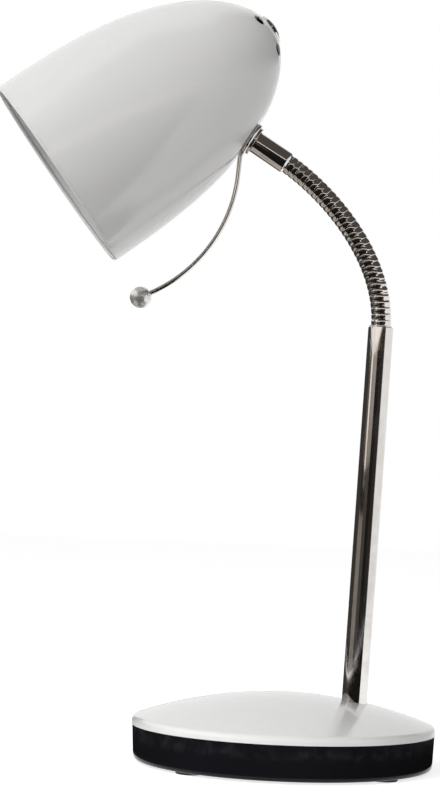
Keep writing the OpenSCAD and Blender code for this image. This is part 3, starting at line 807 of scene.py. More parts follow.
FINISHES = (
    Finish(
        Slot.PAINT, "white_enamel", (0.80, 0.795, 0.78), (0.785, 0.782, 0.772), 0.16, 0.05,
        coat=0.35, coat_roughness=0.06, fine_scale=520.0, cloud_scale=9.0, bump=0.12, bump_mm=0.03,
        wear=0.35, wear_colour=(0.62, 0.61, 0.59), dust=0.10,
    ),
    Finish(
        Slot.MOULDING, "black_moulding", (0.007, 0.007, 0.009), (0.008, 0.008, 0.010), 0.14, 0.03,
        coat=0.02, specular=0.15, fine_scale=700.0, cloud_scale=24.0, bump=0.10,
        wear=0.3, wear_colour=(0.10, 0.10, 0.10), dust=0.06,
    ),
    Finish(
        Slot.CHROME, "bright_chrome", (0.74, 0.72, 0.70), (0.70, 0.675, 0.65), 0.05, 0.03, metallic=1.0,
        fine_scale=1500.0, cloud_scale=40.0, bump=0.04, bump_mm=0.01,
        wear=0.3, wear_colour=(0.5, 0.47, 0.43), marks=0.07,
    ),
    Finish(
        Slot.SATIN, "pearl_steel", (0.90, 0.89, 0.87), (0.84, 0.83, 0.81), 0.3, 0.05, metallic=0.8,
        fine_scale=2200.0, cloud_scale=90.0, bump=0.12, marks=0.06,
    ),
    Finish(
        Slot.ZINC, "zinc_plating", (0.60, 0.61, 0.63), (0.50, 0.50, 0.50), 0.34, 0.14, metallic=1.0,
        fine_scale=1100.0, cloud_scale=120.0, bump=0.2, bump_mm=0.03,
        wear=0.6, wear_colour=(0.42, 0.40, 0.38),
    ),
    Finish(
        Slot.CASTING, "plain_casting", (0.16, 0.16, 0.165), (0.11, 0.105, 0.10), 0.68, 0.14, metallic=0.6,
        fine_scale=420.0, cloud_scale=60.0, bump=0.7, bump_mm=0.25,
        wear=0.6, wear_colour=(0.3, 0.29, 0.28),
    ),
    Finish(
        Slot.RUBBER, "foot_rubber", (0.035, 0.034, 0.033), (0.05, 0.048, 0.046), 0.78, 0.1,
        cloud_scale=90.0, bump=0.45, bump_mm=0.08, sheen=0.1, dust=0.2,
    ),
    Finish(
        Slot.SOFT_BLACK, "soft_black", (0.02, 0.02, 0.02), (0.03, 0.03, 0.029), 0.5, 0.12,
        fine_scale=1300.0, cloud_scale=120.0, bump=0.35, bump_mm=0.05, dust=0.15,
    ),
    Finish(
        Slot.BRASS, "drawn_brass", (0.78, 0.60, 0.30), (0.66, 0.48, 0.23), 0.26, 0.14, metallic=1.0,
        fine_scale=1200.0, cloud_scale=110.0, bump=0.15, bump_mm=0.03,
        wear=0.4, wear_colour=(0.5, 0.34, 0.16),
    ),
    Finish(
        Slot.PHENOLIC, "black_phenolic", (0.016, 0.015, 0.015), (0.028, 0.025, 0.023), 0.3, 0.1,
        fine_scale=1000.0, cloud_scale=80.0, bump=0.25, bump_mm=0.04,
        wear=0.5, wear_colour=(0.07, 0.065, 0.06),
    ),
    Finish(
        Slot.CERAMIC, "pale_ceramic", (0.80, 0.78, 0.72), (0.74, 0.71, 0.64), 0.45, 0.15,
        fine_scale=700.0, cloud_scale=140.0, bump=0.3, bump_mm=0.05,
    ),
    Finish(
        Slot.CAP_METAL, "rolled_aluminium", (0.74, 0.74, 0.75), (0.64, 0.64, 0.65), 0.24, 0.1, metallic=1.0,
        fine_scale=1400.0, cloud_scale=130.0, bump=0.12, wear=0.3,
    ),
    Finish(
        Slot.GLASS, "frosted_glass", (0.93, 0.93, 0.91), (0.90, 0.90, 0.88), 0.42, 0.08, transmission=0.45,
        ior=1.48, fine_scale=2600.0, cloud_scale=60.0, bump=0.15,
    ),
)


class Paintbox:
    """Hands out each finish's material and puts it on pieces."""

    def __init__(self) -> None:
        """Makes the shared effects and every finish once."""
        effects = Effects()
        self.materials = {finish.slot: finish.material(effects) for finish in FINISHES}

    def put(self, obj: Object, slot: Slot) -> None:
        """Makes a slot's finish the only one of an object."""
        obj.data.materials.clear()
        obj.data.materials.append(self.materials[slot])

    def dress(self, obj: Object, slot: Slot) -> None:
        """Gives a new piece the finish of a slot."""
        self.put(obj, slot)

    def dress_nodes(self) -> None:
        """Gives every carried-over node the finish of its own slot."""
        for row in FRAME["record"]["subparts"]:
            self.put(FRAME["nodes"][row["node"]], Slot(row["material_slot"]))


@dataclass
class SubAssembly:
    """What every sub-assembly has: pieces that it made, each with its body and its slot."""

    title: ClassVar[str] = "sub-assembly"
    made: list[tuple[Object, str, Slot]] = field(default_factory=list, init=False)

    def keep(self, obj: Object, body: Body | str, slot: Slot, *stands_for: str) -> None:
        """Notes a piece, lets it ride and hides the nodes that it stands for.

        Args:
            obj: the piece, already in place.
            body: the body that it rides on.
            slot: its material slot.
            stands_for: the nodes that it replaces.
        """
        carrier = body.value if isinstance(body, Body) else body
        self.made.append((obj, carrier, slot))
        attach(obj, carrier)
        if stands_for:
            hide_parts(*stands_for)

    def dress(self, paint: Paintbox) -> None:
        """Puts the finishes on and reports each piece.

        Args:
            paint: the finishes.
        """
        for obj, body, slot in self.made:
            paint.dress(obj, slot)
            faces = len(obj.data.polygons)
            LOG.info("%s: %s rides on %s, %s, %d faces", self.title, obj.name, body, slot.value, faces)


# --- base


@dataclass
class Base(SubAssembly):
    """The domed cap on the black pan, in millimetres."""

    title: ClassVar[str] = "base"
    radius: float = 75.5
    pan_top: float = 18.3
    rise: float = 17.2
    lip_h: float = 3.5
    edge_r: float = 3.0
    wall: float = 0.9
    stem_hole_r: float = 6.55
    stem_hole_up: float = 23.0
    hole_zone: float = 9.0
    hole_step: float = 0.55
    edge_zone: float = 6.0
    edge_step: float = 0.5
    coarse: float = 1.8
    pillar_count: int = 3
    pillar_first: float = 60.0
    pillar_r: float = 4.0
    pillar_ring_r: float = 56.0
    pillar_low: float = 11.2
    pillar_bore_r: float = 1.85
    pillar_bore_top: float = 20.2

    def dome(self) -> tuple[float, float]:
        """The sphere of the dome.

        Returns:
            Its radius and the height of its centre.
        """
        dome_h = self.rise - self.lip_h
        dome_r = (self.radius**2 + dome_h**2) / (2 * dome_h)
        return dome_r, self.pan_top + self.rise - dome_r

    def outline(self) -> list[Point2]:
        """The cap's outer face.

        Returns:
            Its (radius, height) points, from the middle to the lower edge of the lip.
        """
        dome_r, dome_z = self.dome()
        edge_x = self.radius - self.edge_r
        edge_z = dome_z + math.sqrt((dome_r - self.edge_r) ** 2 - edge_x**2)
        turn = math.degrees(math.atan2(edge_z - dome_z, edge_x))
        face = [*arc(0, dome_z, dome_r, 90, turn, 400), *arc(edge_x, edge_z, self.edge_r, turn, 0, 24)]
        return [*face, (self.radius, self.pan_top)]

    def build(self) -> None:
        """Makes the cap and its screw pillars."""
        stem = LAYOUT.stem()
        up = stem.to_3x3() @ Vector((0, 0, 1))
        hole = RoundHole(stem.translation / MM + up * self.stem_hole_up, up, self.stem_hole_r)
        near = LAYOUT.stem_off
        zones = (
            Zone(self.hole_step, radii=(near - self.hole_zone, near + self.hole_zone)),
            Zone(self.edge_step, radii=(self.radius - self.edge_zone, math.inf)),
        )
        outline = resampled(self.outline(), zones, self.coarse)[::-1]
        cap = sheet("base_cap_enamel", outline, Matrix.Identity(4), self.wall, [hole], lambda p: p, 336)
        self.keep(cap, Body.BASE, Slot.PAINT, "base_cap")
        dome_r, dome_z = self.dome()
        top = self.pan_top + self.rise
        outline = [
            (self.pillar_bore_r, self.pillar_low), (self.pillar_r, self.pillar_low), (self.pillar_r, top),
            (0.0, top), (0.0, self.pillar_bore_top), (self.pillar_bore_r, self.pillar_bore_top),
        ]
        for k in range(self.pillar_count):
            a = math.radians(self.pillar_first + 360 / self.pillar_count * k)
            spot = moved(self.pillar_ring_r * math.cos(a), self.pillar_ring_r * math.sin(a), 0)
            pillar = lathe(f"cap_pillar_{k + 1}", outline, spot, 32, loop=True)
            for v in pillar.data.vertices:
                out = v.co.xy.length / MM
                under = dome_z + math.sqrt(dome_r**2 - out**2) - self.wall / 2
                v.co.z = min(v.co.z, under * MM)
            self.keep(pillar, Body.BASE, Slot.PAINT)


# --- stem and gooseneck


@dataclass(frozen=True)
class BeadProfile:
    """Half outline of the beads, of the nose that turns in the next cup, and of the cup."""

    neck_r: float = 5.1
    gap: float = 0.75
    crown: float = 0.12
    bevel: float = 0.2
    bevel_w: float = 0.12
    start_w: float = 0.26
    blend: float = 0.1
    groove_r: float = 4.8
    bore_r: float = 2.3
    cup_r: float = 4.9
    nose_r: float = 4.84
    crisp: float = 25.0

    def bead(self, middle: float, start: bool, end: bool) -> list[Point2]:
        """One bead's low crown with its bevelled ends.

        Args:
            middle: height of the bead's middle.
            start: whether the link's lower face is this bead's start; else it is the groove.
            end: whether the link's upper face is this bead's end; else it is the groove.

        Returns:
            The points from its lower to its upper side.
        """
        half = (LAYOUT.bead_pitch - self.gap) / 2
        arc_r = (half**2 + self.crown**2) / (2 * self.crown)
        steps = 20
        side = []
        for i in range(steps + 1):
            off = -half * math.cos(math.pi * i / steps)
            width = self.start_w if start and off < 0 else self.bevel_w
            flank = self.neck_r - width * (1 - (half - abs(off)) / self.bevel)
            crown = self.neck_r - arc_r + math.sqrt(arc_r**2 - off**2)
            side.append((soft_min(flank, crown, self.blend), middle + off))
        low = [] if start else [(self.groove_r, middle - half)]
        high = [] if end else [(self.groove_r, middle + half)]
        return [*low, *side, *high]

    def nose(self) -> list[Point2]:
        """The nose, from the bore to the link's lower face."""
        low = -math.degrees(math.acos(self.bore_r / self.nose_r))
        return arc(0, 0, self.nose_r, low, math.degrees(math.asin(self.gap / 2 / self.nose_r)), 12)

    def cup(self, z: float) -> list[Point2]:
        """The cup around the next joint, from the link's upper face to the bore."""
        rim = -math.degrees(math.asin(self.gap / 2 / self.cup_r))
        return arc(0, z, self.cup_r, rim, -math.degrees(math.acos(self.bore_r / self.cup_r)), 12)


@dataclass
class Gooseneck(SubAssembly):
    """The stem tube and the chain of bead links on it, in millimetres."""

    title: ClassVar[str] = "gooseneck"
    stem_r: float = 6.35
    stem_in_r: float = 5.05
    lip: float = 0.4
    socket_r: float = 5.0
    socket_in: float = 14.0
    shoulder_r: float = 5.85
    shoulder_edge: float = 0.15

    def build(self) -> None:
        """Makes the tube, the socket in its top and the fifteen links."""
        profile = BeadProfile()
        pitch = LAYOUT.bead_pitch
        top = LAYOUT.stem_len
        outline = [
            (self.stem_in_r, 0.0), (self.stem_r, 0.0),
            *arc(self.stem_r - self.lip, top - self.lip, self.lip, 0, 90, 6), (self.stem_in_r, top),
        ]
        tube = lathe("stem_tube_chrome", outline, LAYOUT.stem(), 128, loop=True)
        self.keep(tube, Body.BASE, Slot.CHROME, "stem_tube")
        edge = self.shoulder_edge
        foot = -LAYOUT.shoulder
        outline = [
            (profile.bore_r, foot - self.socket_in), (self.socket_r, foot - self.socket_in),
            (self.socket_r, foot), (self.shoulder_r, foot),
            *arc(self.shoulder_r - edge, -edge, edge, 0, 90, 3), (profile.groove_r, 0.0),
            *profile.bead(pitch / 2, False, True), *profile.cup(pitch),
        ]
        place = LAYOUT.stem() @ moved(0, 0, top + LAYOUT.shoulder)
        socket = lathe("neck_socket_chrome", outline, place, loop=True, sharp=profile.crisp)
        self.keep(socket, Body.BASE, Slot.CHROME, "neck_socket")
        outline = [
            *profile.nose(), *profile.bead(pitch / 2, True, False),
            *profile.bead(1.5 * pitch, False, True), *profile.cup(2 * pitch),
        ]
        for i in range(1, LAYOUT.joints):
            link = lathe(f"neck_beads_{i:02d}", outline, LAYOUT.joint(i), loop=True, sharp=profile.crisp)
            self.keep(link, f"link_{i:02d}", Slot.CHROME, f"neck_link_{i:02d}")


@dataclass
class Ferrule(SubAssembly):
    """The plain ferrule between the neck and the shade, and its washer, in millimetres."""

    title: ClassVar[str] = "ferrule"
    radius: float = 5.7
    edge: float = 0.5
    top_edge: float = 0.15
    tail_r: float = 5.0
    tail_out: float = 5.5
    flange_r: float = 7.6
    flange_hole_r: float = 5.05
    flange_edge: float = 0.2

    def build(self) -> None:
        """Makes the ferrule with its threaded tail, and the flange washer."""
        profile = BeadProfile()
        low = profile.gap / 2
        top = LAYOUT.ferrule_len
        tail_top = LAYOUT.seat_z() + self.tail_out
        edge = self.edge
        shoulder = [
            (profile.groove_r, low), (self.radius - edge, low + edge),
            (self.radius, low + 2 * edge), (self.radius, low + 4 * edge),
        ]
        outline = [
            *profile.nose(), *eased(shoulder, 5),
            *arc(self.radius - self.top_edge, top - self.top_edge, self.top_edge, 0, 90, 4),
            (self.tail_r, top), (self.tail_r, tail_top), (profile.bore_r, tail_top),
        ]
        ferrule = lathe("ferrule_chrome", outline, LAYOUT.head(), 128, loop=True)
        self.keep(ferrule, Body.HEAD, Slot.CHROME, "neck_ferrule")
        edge = self.flange_edge
        rim = self.flange_r - edge
        high = top + LAYOUT.flange_t
        outline = [
            (self.flange_hole_r, top), *arc(rim, top + edge, edge, -90, 0, 4),
            *arc(rim, high - edge, edge, 0, 90, 4), (self.flange_hole_r, high),
        ]
        flange = lathe("flange_washer_chrome", outline, LAYOUT.head(), loop=True)
        self.keep(flange, Body.HEAD, Slot.CHROME, "flange_washer")


# --- handle


@dataclass
class Handle(SubAssembly):
    """The wire that swings the head, with its eye and its ball, in millimetres and degrees."""

    title: ClassVar[str] = "handle"
    eye_ring_r: float = 7.6
    shank_out: float = 1.4
    kick_r: float = 5.6
    kick_deg: float = 28.0
    drop: float = 8.2
    sweep_r: float = 74.6
    sweep_deg: float = 60.0
    ball_r: float = 5.4
    eye_over_wire: float = 0.02

    def path(self) -> list[Vector]:
        """The wire's middle line in the head's frame; a positive turn goes towards the shade.

        Returns:
            Its points, from the eye to the ball.
        """
        place = Vector((-self.eye_ring_r, 0, LAYOUT.eye_z()))
        heading = 180.0
        points = [place]
        for length, turn, steps in (
            (self.shank_out, 0.0, 2),
            (self.kick_r * math.radians(self.kick_deg), -self.kick_deg, 10),
            (self.drop, 0.0, 6),
            (self.sweep_r * math.radians(self.sweep_deg), self.sweep_deg, 60),
            (self.ball_r, 0.0, 4),
        ):
            for _ in range(steps):
                heading -= turn / steps / 2
                a = math.radians(heading)
                place = place + Vector((math.cos(a), 0, math.sin(a))) * (length / steps)
                heading -= turn / steps / 2
                points.append(place)
        return points

    def build(self) -> None:
        """Makes the bent wire, its eye and the ball."""
        head = LAYOUT.head()
        radius = LAYOUT.wire_d / 2
        path = self.path()
        wire = swept("handle_bent_wire", path, radius - self.eye_over_wire, head)
        self.keep(wire, Body.HEAD, Slot.CHROME, "handle_wire")
        eye = lathe("handle_wire_eye", ring(self.eye_ring_r, LAYOUT.eye_z(), radius, 24), head, loop=True)
        self.keep(eye, Body.HEAD, Slot.CHROME)
        turn = (path[-1] - path[-2]).normalized().to_track_quat("Z", "Y").to_matrix().to_4x4()
        hole = radius + LAYOUT.touch
        start = -math.degrees(math.acos(hole / self.ball_r))
        outline = [
            (0.0, LAYOUT.touch), (hole, LAYOUT.touch),
            *arc(0, 0, self.ball_r, start, 90, 48)[:-1], (0.0, self.ball_r),
        ]
        ball = lathe("handle_ball_polished", outline, head @ Matrix.Translation(path[-1] * MM) @ turn, 72)
        self.keep(ball, Body.HEAD, Slot.SATIN, "handle_ball")


# --- shade


@dataclass
class Shade(SubAssembly):
    """The bullet-shaped shade with its hem, vents and crown screw, in millimetres."""

    title: ClassVar[str] = "shade"
    wall: float = 0.8
    hem_r: float = 0.9
    crown_z: float = 131.7
    bolt_hole_r: float = 5.2
    vent_count: int = 5
    vent_r: float = 3.45
    vent_ring_r: float = 15.0
    press_border: float = 0.5
    crown_zone: Zone = Zone(0.4, radii=(-1.0, 20.0))
    seat_zone: Zone = Zone(0.7, heights=(78.0, 106.0))
    coarse: float = 1.6
    washer_t: float = 0.7
    head_r: float = 6.85
    head_edge_h: float = 0.4
    head_dome_h: float = 1.8
    shank_r: float = 5.0
    shank_len: float = 9.0

    def outline(self) -> list[Point2]:
        """The outer face.

        Returns:
            Its (radius, height) points, from the hem to the crown's hole.
        """
        steps = 3000
        low, high = self.hem_r, LAYOUT.shade_z(self.bolt_hole_r)
        heights = (low + (high - low) * math.sin(math.pi / 2 * i / steps) for i in range(steps + 1))
        return [(LAYOUT.shade_r(z), z) for z in heights]

    def hole(self, z: float, around: float, radius: float) -> RoundHole:
        """A hole square to the outer face.

        Args:
            z: height of its middle above the mouth.
            around: degrees around the axis from the ferrule's side.
            radius: its radius.

        Returns:
            The hole.
        """
        tilt = math.radians(LAYOUT.slope(z))
        a = math.radians(around)
        out = Vector((math.cos(a), math.sin(a), 0))
        up = Vector((0, 0, 1))
        axis = out * math.cos(tilt) + up * math.sin(tilt)
        return RoundHole(out * LAYOUT.shade_r(z) + up * z, axis, radius)

    def seat(self) -> RoundHole:
        """The hole for the ferrule's tail."""
        return self.hole(LAYOUT.seat_up, 0, self.bolt_hole_r)

    def vents(self) -> list[RoundHole]:
        """The vents around the crown screw."""
        step, z = 360 / self.vent_count, LAYOUT.shade_z(self.vent_ring_r)
        return [self.hole(z, step * (k + 0.5), self.vent_r) for k in range(self.vent_count)]

    def pressed(self, p: Vector) -> Vector:
        """Presses the flats for the ferrule and the crown screw, with soft borders.

        Args:
            p: a point of the turned face.

        Returns:
            The point after the press.
        """
        seat = self.seat()
        depth = (seat.centre - p).dot(seat.axis)
        deeper = -soft_min(-depth, -LAYOUT.seat_flat, self.press_border)
        p = p - seat.axis * (deeper - depth)
        return Vector((p.x, p.y, soft_min(p.z, self.crown_z, self.press_border)))

    def build(self) -> None:
        """Makes the shell, the rolled hem and the crown screw."""
        place = LAYOUT.shade()
        outline = resampled(self.outline(), (self.crown_zone, self.seat_zone), self.coarse)
        holes = [*self.vents(), self.seat()]
        shell = sheet("shade_enamel_shell", outline, place, self.wall, holes, self.pressed, 300)
        self.keep(shell, Body.HEAD, Slot.PAINT, "shade_shell")
        outline = ring(LAYOUT.mouth_r - self.hem_r, self.hem_r, self.hem_r, 18)
        hem = lathe("shade_rolled_hem", outline, place, 240, loop=True)
        self.keep(hem, Body.HEAD, Slot.PAINT)
        low = self.crown_z + self.washer_t
        top = low + self.head_edge_h + self.head_dome_h
        ball_r = (self.head_r**2 + self.head_dome_h**2) / (2 * self.head_dome_h)
        rim = math.degrees(math.acos(self.head_r / ball_r))
        outline = [
            (0, low - self.shank_len), (self.shank_r, low - self.shank_len), (self.shank_r, low),
            (self.head_r, low), *arc(0, top - ball_r, ball_r, rim, 90, 24)[:-1], (0, top),
        ]
        screw = lathe("crown_screw_domed", outline, place)
        self.keep(screw, Body.HEAD, Slot.MOULDING, "crown_screw")


# --- lampholder and bulb


@dataclass
class Lampholder(SubAssembly):
    """The threaded shell inside the black holder, in millimetres."""

    title: ClassVar[str] = "lampholder"
    thread: RolledThread = RolledThread(middle=13.62, depth=0.1, low=82.65, high=101.65, wall=0.12)

    def build(self) -> None:
        """Rolls the holder's thread."""
        shell = self.thread.make("holder_thread_shell", LAYOUT.shade())
        self.keep(shell, Body.HEAD, Slot.BRASS, "screw_shell")


@dataclass
class Bulb(SubAssembly):
    """The frosted bulb: its globe, threaded cap, insulator and end contact, in millimetres."""

    title: ClassVar[str] = "bulb"
    globe_r: float = 22.5
    globe_z: float = 50.65
    wall: float = 1.0
    neck_r: float = 12.5
    neck_in: float = 2.0
    cap_low: float = 75.15
    cap_r: float = 13.1
    thread_depth: float = 0.4
    thread_gap: float = 0.05
    cap_wall: float = 0.3
    tip_z: float = 101.15
    cone_h: float = 4.5
    cone_tip_r: float = 4.5
    contact_r: float = 4.4
    contact_edge: float = 1.5

    def globe_side(self, inset: float) -> list[Point2]:
        """Outline of the globe and its neck.

        Args:
            inset: how far it lies inside the outer face.

        Returns:
            Its (radius, height) points from the bottom up.
        """
        r, x = self.globe_r - inset, self.neck_r - inset
        z = self.cap_low - self.globe_z
        touch = math.degrees(math.atan2(z, x) - math.acos(r / math.hypot(x, z)))
        face = arc(0, self.globe_z, r, -90, touch, 64)
        return [*face, (x, self.cap_low), (x, self.cap_low + self.neck_in)]

    def build(self) -> None:
        """Makes the bulb's four pieces."""
        place = LAYOUT.shade()
        outline = [*self.globe_side(0.0), *reversed(self.globe_side(self.wall))]
        globe = lathe("bulb_frosted_globe", outline, place)
        self.keep(globe, Body.BULB, Slot.GLASS, "bulb_globe")
        tip, rim = self.tip_z, self.cap_r
        high = tip - self.cone_h
        low = high - 1
        middle = rim - self.thread_depth - self.thread_gap
        thread = RolledThread(middle, self.thread_depth, self.cap_low, low, self.cap_wall)
        self.keep(thread.make("bulb_cap_thread", place), Body.BULB, Slot.CAP_METAL, "bulb_cap")
        cone = [
            (rim - 0.5, low), (rim - 1, high), (self.cone_tip_r, tip - 1.5),
            (self.cone_tip_r, tip - 1.6), (3.0, tip - 2.2), (rim - 1.6, low),
        ]
        self.keep(lathe("bulb_cap_insulator", cone, place, 72, loop=True), Body.BULB, Slot.PHENOLIC)
        edge = self.contact_edge
        button = [
            (0, tip - 1.7), (self.contact_r, tip - 1.6),
            *arc(self.contact_r - edge, tip - edge, edge, 0, 90, 8), (0, tip),
        ]
        self.keep(lathe("bulb_end_contact", button, place, 48), Body.BULB, Slot.CAP_METAL)


# --- studio


class CardShape(Enum):
    """How a studio card stands: as a patch of a dome around the lamp, or lying on the floor."""

    DOME = "dome"
    FLOOR = "floor"


@dataclass(frozen=True)
class Card:
    """A studio card that only mirrors see; its own sizes are in metres.

    It spans an angle around the lamp, 0 towards -Y and positive towards +X, in degrees, and
    then an elevation in degrees on the dome, or a distance from the lamp in metres on the floor.
    """

    name: str
    shape: CardShape
    around: tuple[float, float]
    reach: tuple[float, float]
    level: float
    colour: Colour = (1.0, 0.90, 0.82)
    radius: float = 1.5
    height: float = 0.195
    floor_gap: float = 0.002
    facet: float = 5.0

    def corner(self, angle: float, reach: float) -> Vector:
        """One corner of the card.

        Args:
            angle: its place around the lamp.
            reach: its elevation or its distance.

        Returns:
            The corner in millimetres.
        """
        a = math.radians(angle)
        if self.shape is CardShape.FLOOR:
            return Vector((reach * math.sin(a), -reach * math.cos(a), self.floor_gap)) / MM
        e = math.radians(reach)
        flat = self.radius * math.cos(e)
        up = self.height + self.radius * math.sin(e)
        return Vector((flat * math.sin(a), -flat * math.cos(a), up)) / MM

    def stops(self, ends: tuple[float, float]) -> list[float]:
        """Values from one end to the other, at most about a facet apart."""
        count = max(1, round(abs(ends[1] - ends[0]) / self.facet))
        return [ends[0] + (ends[1] - ends[0]) * i / count for i in range(count + 1)]

    def build(self, swing: Matrix) -> None:
        """Makes the card, seen by reflections only.

        Args:
            swing: turns the card about the lamp.
        """
        angles, reaches = self.stops(self.around), self.stops(self.reach)
        verts = [self.corner(angle, reach) for reach in reaches for angle in angles]
        card = piece(self.name, verts, skin(rows_of(len(reaches), len(angles)), wrap=False), swing)
        made = bpy.data.materials.new(self.name)
        made.use_nodes = True
        made.node_tree.nodes.clear()
        nodes = Nodes(made.node_tree)
        glow = nodes.add("Emission", {"Color": (*self.colour, 1), "Strength": self.level})
        nodes.add("OutputMaterial", {"Surface": glow.outputs[0]})
        card.data.materials.append(made)
        for ray in ("camera", "diffuse", "transmission", "shadow"):
            setattr(card, f"visible_{ray}", False)


@dataclass(frozen=True)
class SoftLight:
    """A large soft lamp that no mirror shows, in metres, watts and degrees."""

    name: str
    place: Point3
    target: Point3
    size: tuple[float, float]
    power: float
    spread: float = 180.0

    def build(self, swing: Matrix) -> None:
        """Makes the lamp and turns it to its target.

        Args:
            swing: turns the lamp's place and its target about the upright axis.
        """
        data = bpy.data.lights.new(self.name, "AREA")
        data.shape = "RECTANGLE"
        data.size, data.size_y = self.size
        data.energy = self.power
        data.spread = math.radians(self.spread)
        made = bpy.data.objects.new(self.name, data)
        made.location = swing @ Vector(self.place)
        made.rotation_mode = "QUATERNION"
        made.rotation_quaternion = (swing @ Vector(self.target) - made.location).to_track_quat("-Z", "Y")
        made.visible_camera = False
        made.visible_glossy = False
        bpy.context.scene.collection.objects.link(made)


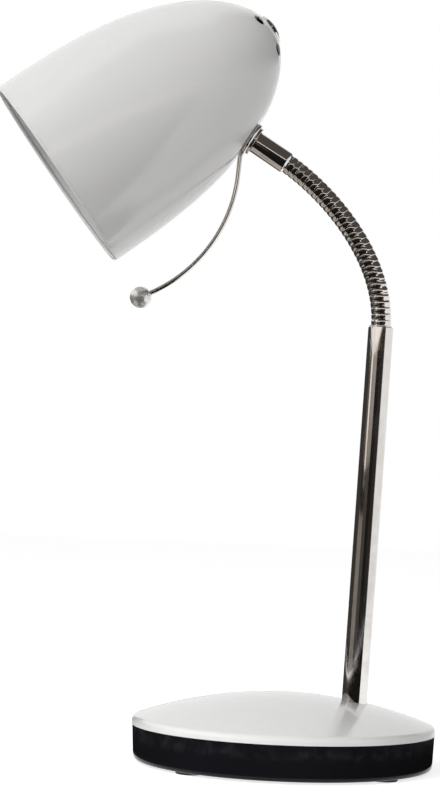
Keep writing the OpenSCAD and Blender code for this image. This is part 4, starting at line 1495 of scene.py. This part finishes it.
@dataclass
class Studio:
    """Floor, world, lights, cards and the camera at the photograph's place."""

    eye: Point3 = (-54.93, -1003.77, 126.91)
    azimuth: float = 0.982
    elevation: float = -3.114
    roll: float = 2.193
    focal_px: float = 2000.0
    longer_px: int = 796
    clip: tuple[float, float] = (0.02, 30.0)
    middle: Point3 = (-0.03, 0.0, 0.2)
    swing: float = -5.8
    world_light: float = 0.22
    floor_half: float = 6000.0
    floor_z: float = -0.02
    floor_grey: float = 0.86
    floor_glow: float = 0.75

    def camera(self) -> None:
        """Puts the camera where the photograph's was."""
        a, e, r = (math.radians(v) for v in (self.azimuth, self.elevation, self.roll))
        forward = Vector((math.sin(a) * math.cos(e), math.cos(a) * math.cos(e), -math.sin(e)))
        level = Vector((math.cos(a), -math.sin(a), 0))
        upright = level.cross(forward)
        right = level * math.cos(r) + upright * math.sin(r)
        up = upright * math.cos(r) - level * math.sin(r)
        data = bpy.data.cameras.new("photo_camera")
        data.sensor_fit = "AUTO"
        data.sensor_width = 36.0
        data.lens = self.focal_px / self.longer_px * data.sensor_width
        data.clip_start, data.clip_end = self.clip
        made = bpy.data.objects.new("photo_camera", data)
        turn = Matrix((right, up, -forward)).transposed().to_4x4()
        made.matrix_world = moved(*self.eye) @ turn
        bpy.context.scene.collection.objects.link(made)
        bpy.context.scene.camera = made

    @staticmethod
    def white_seen(nodes: Nodes) -> NodeSocket:
        """Tells looks from light that falls on things.

        Args:
            nodes: the material's or the world's node maker.

        Returns:
            1 where the camera, a mirror or glass looks, and else 0.
        """
        path = nodes.add("LightPath").outputs
        seen = nodes.math("MAXIMUM", path["Is Camera Ray"], path["Is Glossy Ray"])
        return nodes.math("MAXIMUM", seen, path["Is Transmission Ray"])

    def world(self) -> None:
        """A plain world: white where it is seen, softer as light."""
        world = bpy.data.worlds.new("studio_white")
        world.use_nodes = True
        bpy.context.scene.world = world
        nodes = Nodes(world.node_tree)
        back = world.node_tree.nodes["Background"].inputs
        strength = nodes.ramp(self.white_seen(nodes), 0.0, 1.0, self.world_light, 1.0)
        nodes.fill(back, {"Color": (1, 1, 1, 1), "Strength": strength})

    def floor(self) -> None:
        """A plain pale floor that keeps the lamp's shadow."""
        half = self.floor_half
        signs = ((-1, -1), (1, -1), (1, 1), (-1, 1))
        corners = [Vector((x * half, y * half, self.floor_z)) for x, y in signs]
        plane = piece("studio_floor", corners, [[0, 1, 2, 3]], Matrix.Identity(4))
        made = bpy.data.materials.new("studio_floor")
        made.use_nodes = True
        nodes = Nodes(made.node_tree)
        nodes.fill(
            made.node_tree.nodes["Principled BSDF"].inputs,
            {
                "Base Color": (self.floor_grey, self.floor_grey, self.floor_grey, 1),
                "Roughness": 0.9,
                "Specular IOR Level": 0.1,
                "Emission Color": (1, 1, 1, 1),
                "Emission Strength": nodes.math("MULTIPLY", self.white_seen(nodes), self.floor_glow),
            },
        )
        plane.data.materials.append(made)

    def lights(self) -> list[SoftLight]:
        """The soft lamps.

        Returns:
            The key from the left, two weak fills and two narrow ones.
        """
        return [
            SoftLight("key_left", (-1.01, -1.18, 1.42), self.middle, (1.0, 1.0), 24.0),
            SoftLight("fill_right", (1.3, -0.9, 0.8), self.middle, (0.8, 1.0), 0.6),
            SoftLight("top", (0.1, 0.3, 1.7), self.middle, (1.2, 1.0), 0.5),
            SoftLight("crown_side", (1.2, -0.25, 0.75), (-0.02, 0.0, 0.36), (0.3, 0.3), 0.045, spread=14.0),
            SoftLight("base_front", (-0.25, -0.95, 0.12), (0.0, 0.0, 0.02), (0.5, 0.1), 0.13, spread=24.0),
        ]

    def cards(self) -> list[Card]:
        """The cards that give bright metal its dark bands and its streaks.

        Returns:
            The cards of the dome and of the floor.
        """
        dome, ground = CardShape.DOME, CardShape.FLOOR
        return [
            Card("card_front", dome, (-12, 16), (-7, 13.5), 0.016),
            Card("card_front_right", dome, (16, 44), (-7, 13.5), 0.03),
            Card("card_right_edge", dome, (44, 51), (-7, 13.5), 0.1),
            Card("card_front_left", dome, (-42, -12), (-7, 6), 0.07),
            Card("card_front_left_high", dome, (-42, -12), (6, 13.5), 0.35),
            Card("card_left", dome, (-84, -42), (-7, 3), 0.25),
            Card("card_left_gap", dome, (-84, -42), (3, 6), 0.015),
            Card("card_left_high", dome, (-84, -64), (6, 13.5), 0.12),
            Card("card_left_streak", dome, (-64, -48), (6, 13.5), 1.0),
            Card("card_left_inner", dome, (-48, -42), (6, 13.5), 0.2),
            Card("card_left_back", dome, (-160, -84), (-7, 13.5), 0.05),
            Card("card_strip", dome, (-42, 51), (13.5, 18), 1.2),
            Card("card_canopy", dome, (-42, 150), (18, 78), 0.08),
            Card("card_floor_near", ground, (-180, 180), (0.078, 0.165), 0.008),
            Card("card_floor_front", ground, (-60, 48), (0.165, 1.6), 0.012),
            Card("card_floor_left_near", ground, (-180, -60), (0.165, 0.45), 0.5),
            Card("card_floor_left", ground, (-180, -60), (0.45, 1.6), 0.05),
        ]

    def build(self) -> None:
        """Makes the whole studio."""
        bpy.context.scene.view_settings.view_transform = "Standard"
        self.camera()
        self.world()
        self.floor()
        swing = turned(self.swing, "Z")
        for thing in (*self.lights(), *self.cards()):
            thing.build(swing)


def main() -> None:
    """Sets the studio, then builds and dresses the lamp's sub-assemblies in order."""
    logging.basicConfig(level=logging.INFO, format="%(name)s: %(message)s")
    Studio().build()
    paint = Paintbox()
    paint.dress_nodes()
    for part in (Base(), Gooseneck(), Ferrule(), Handle(), Shade(), Lampholder(), Bulb()):
        part.build()
        part.dress(paint)


if __name__ == "__main__":
    main()
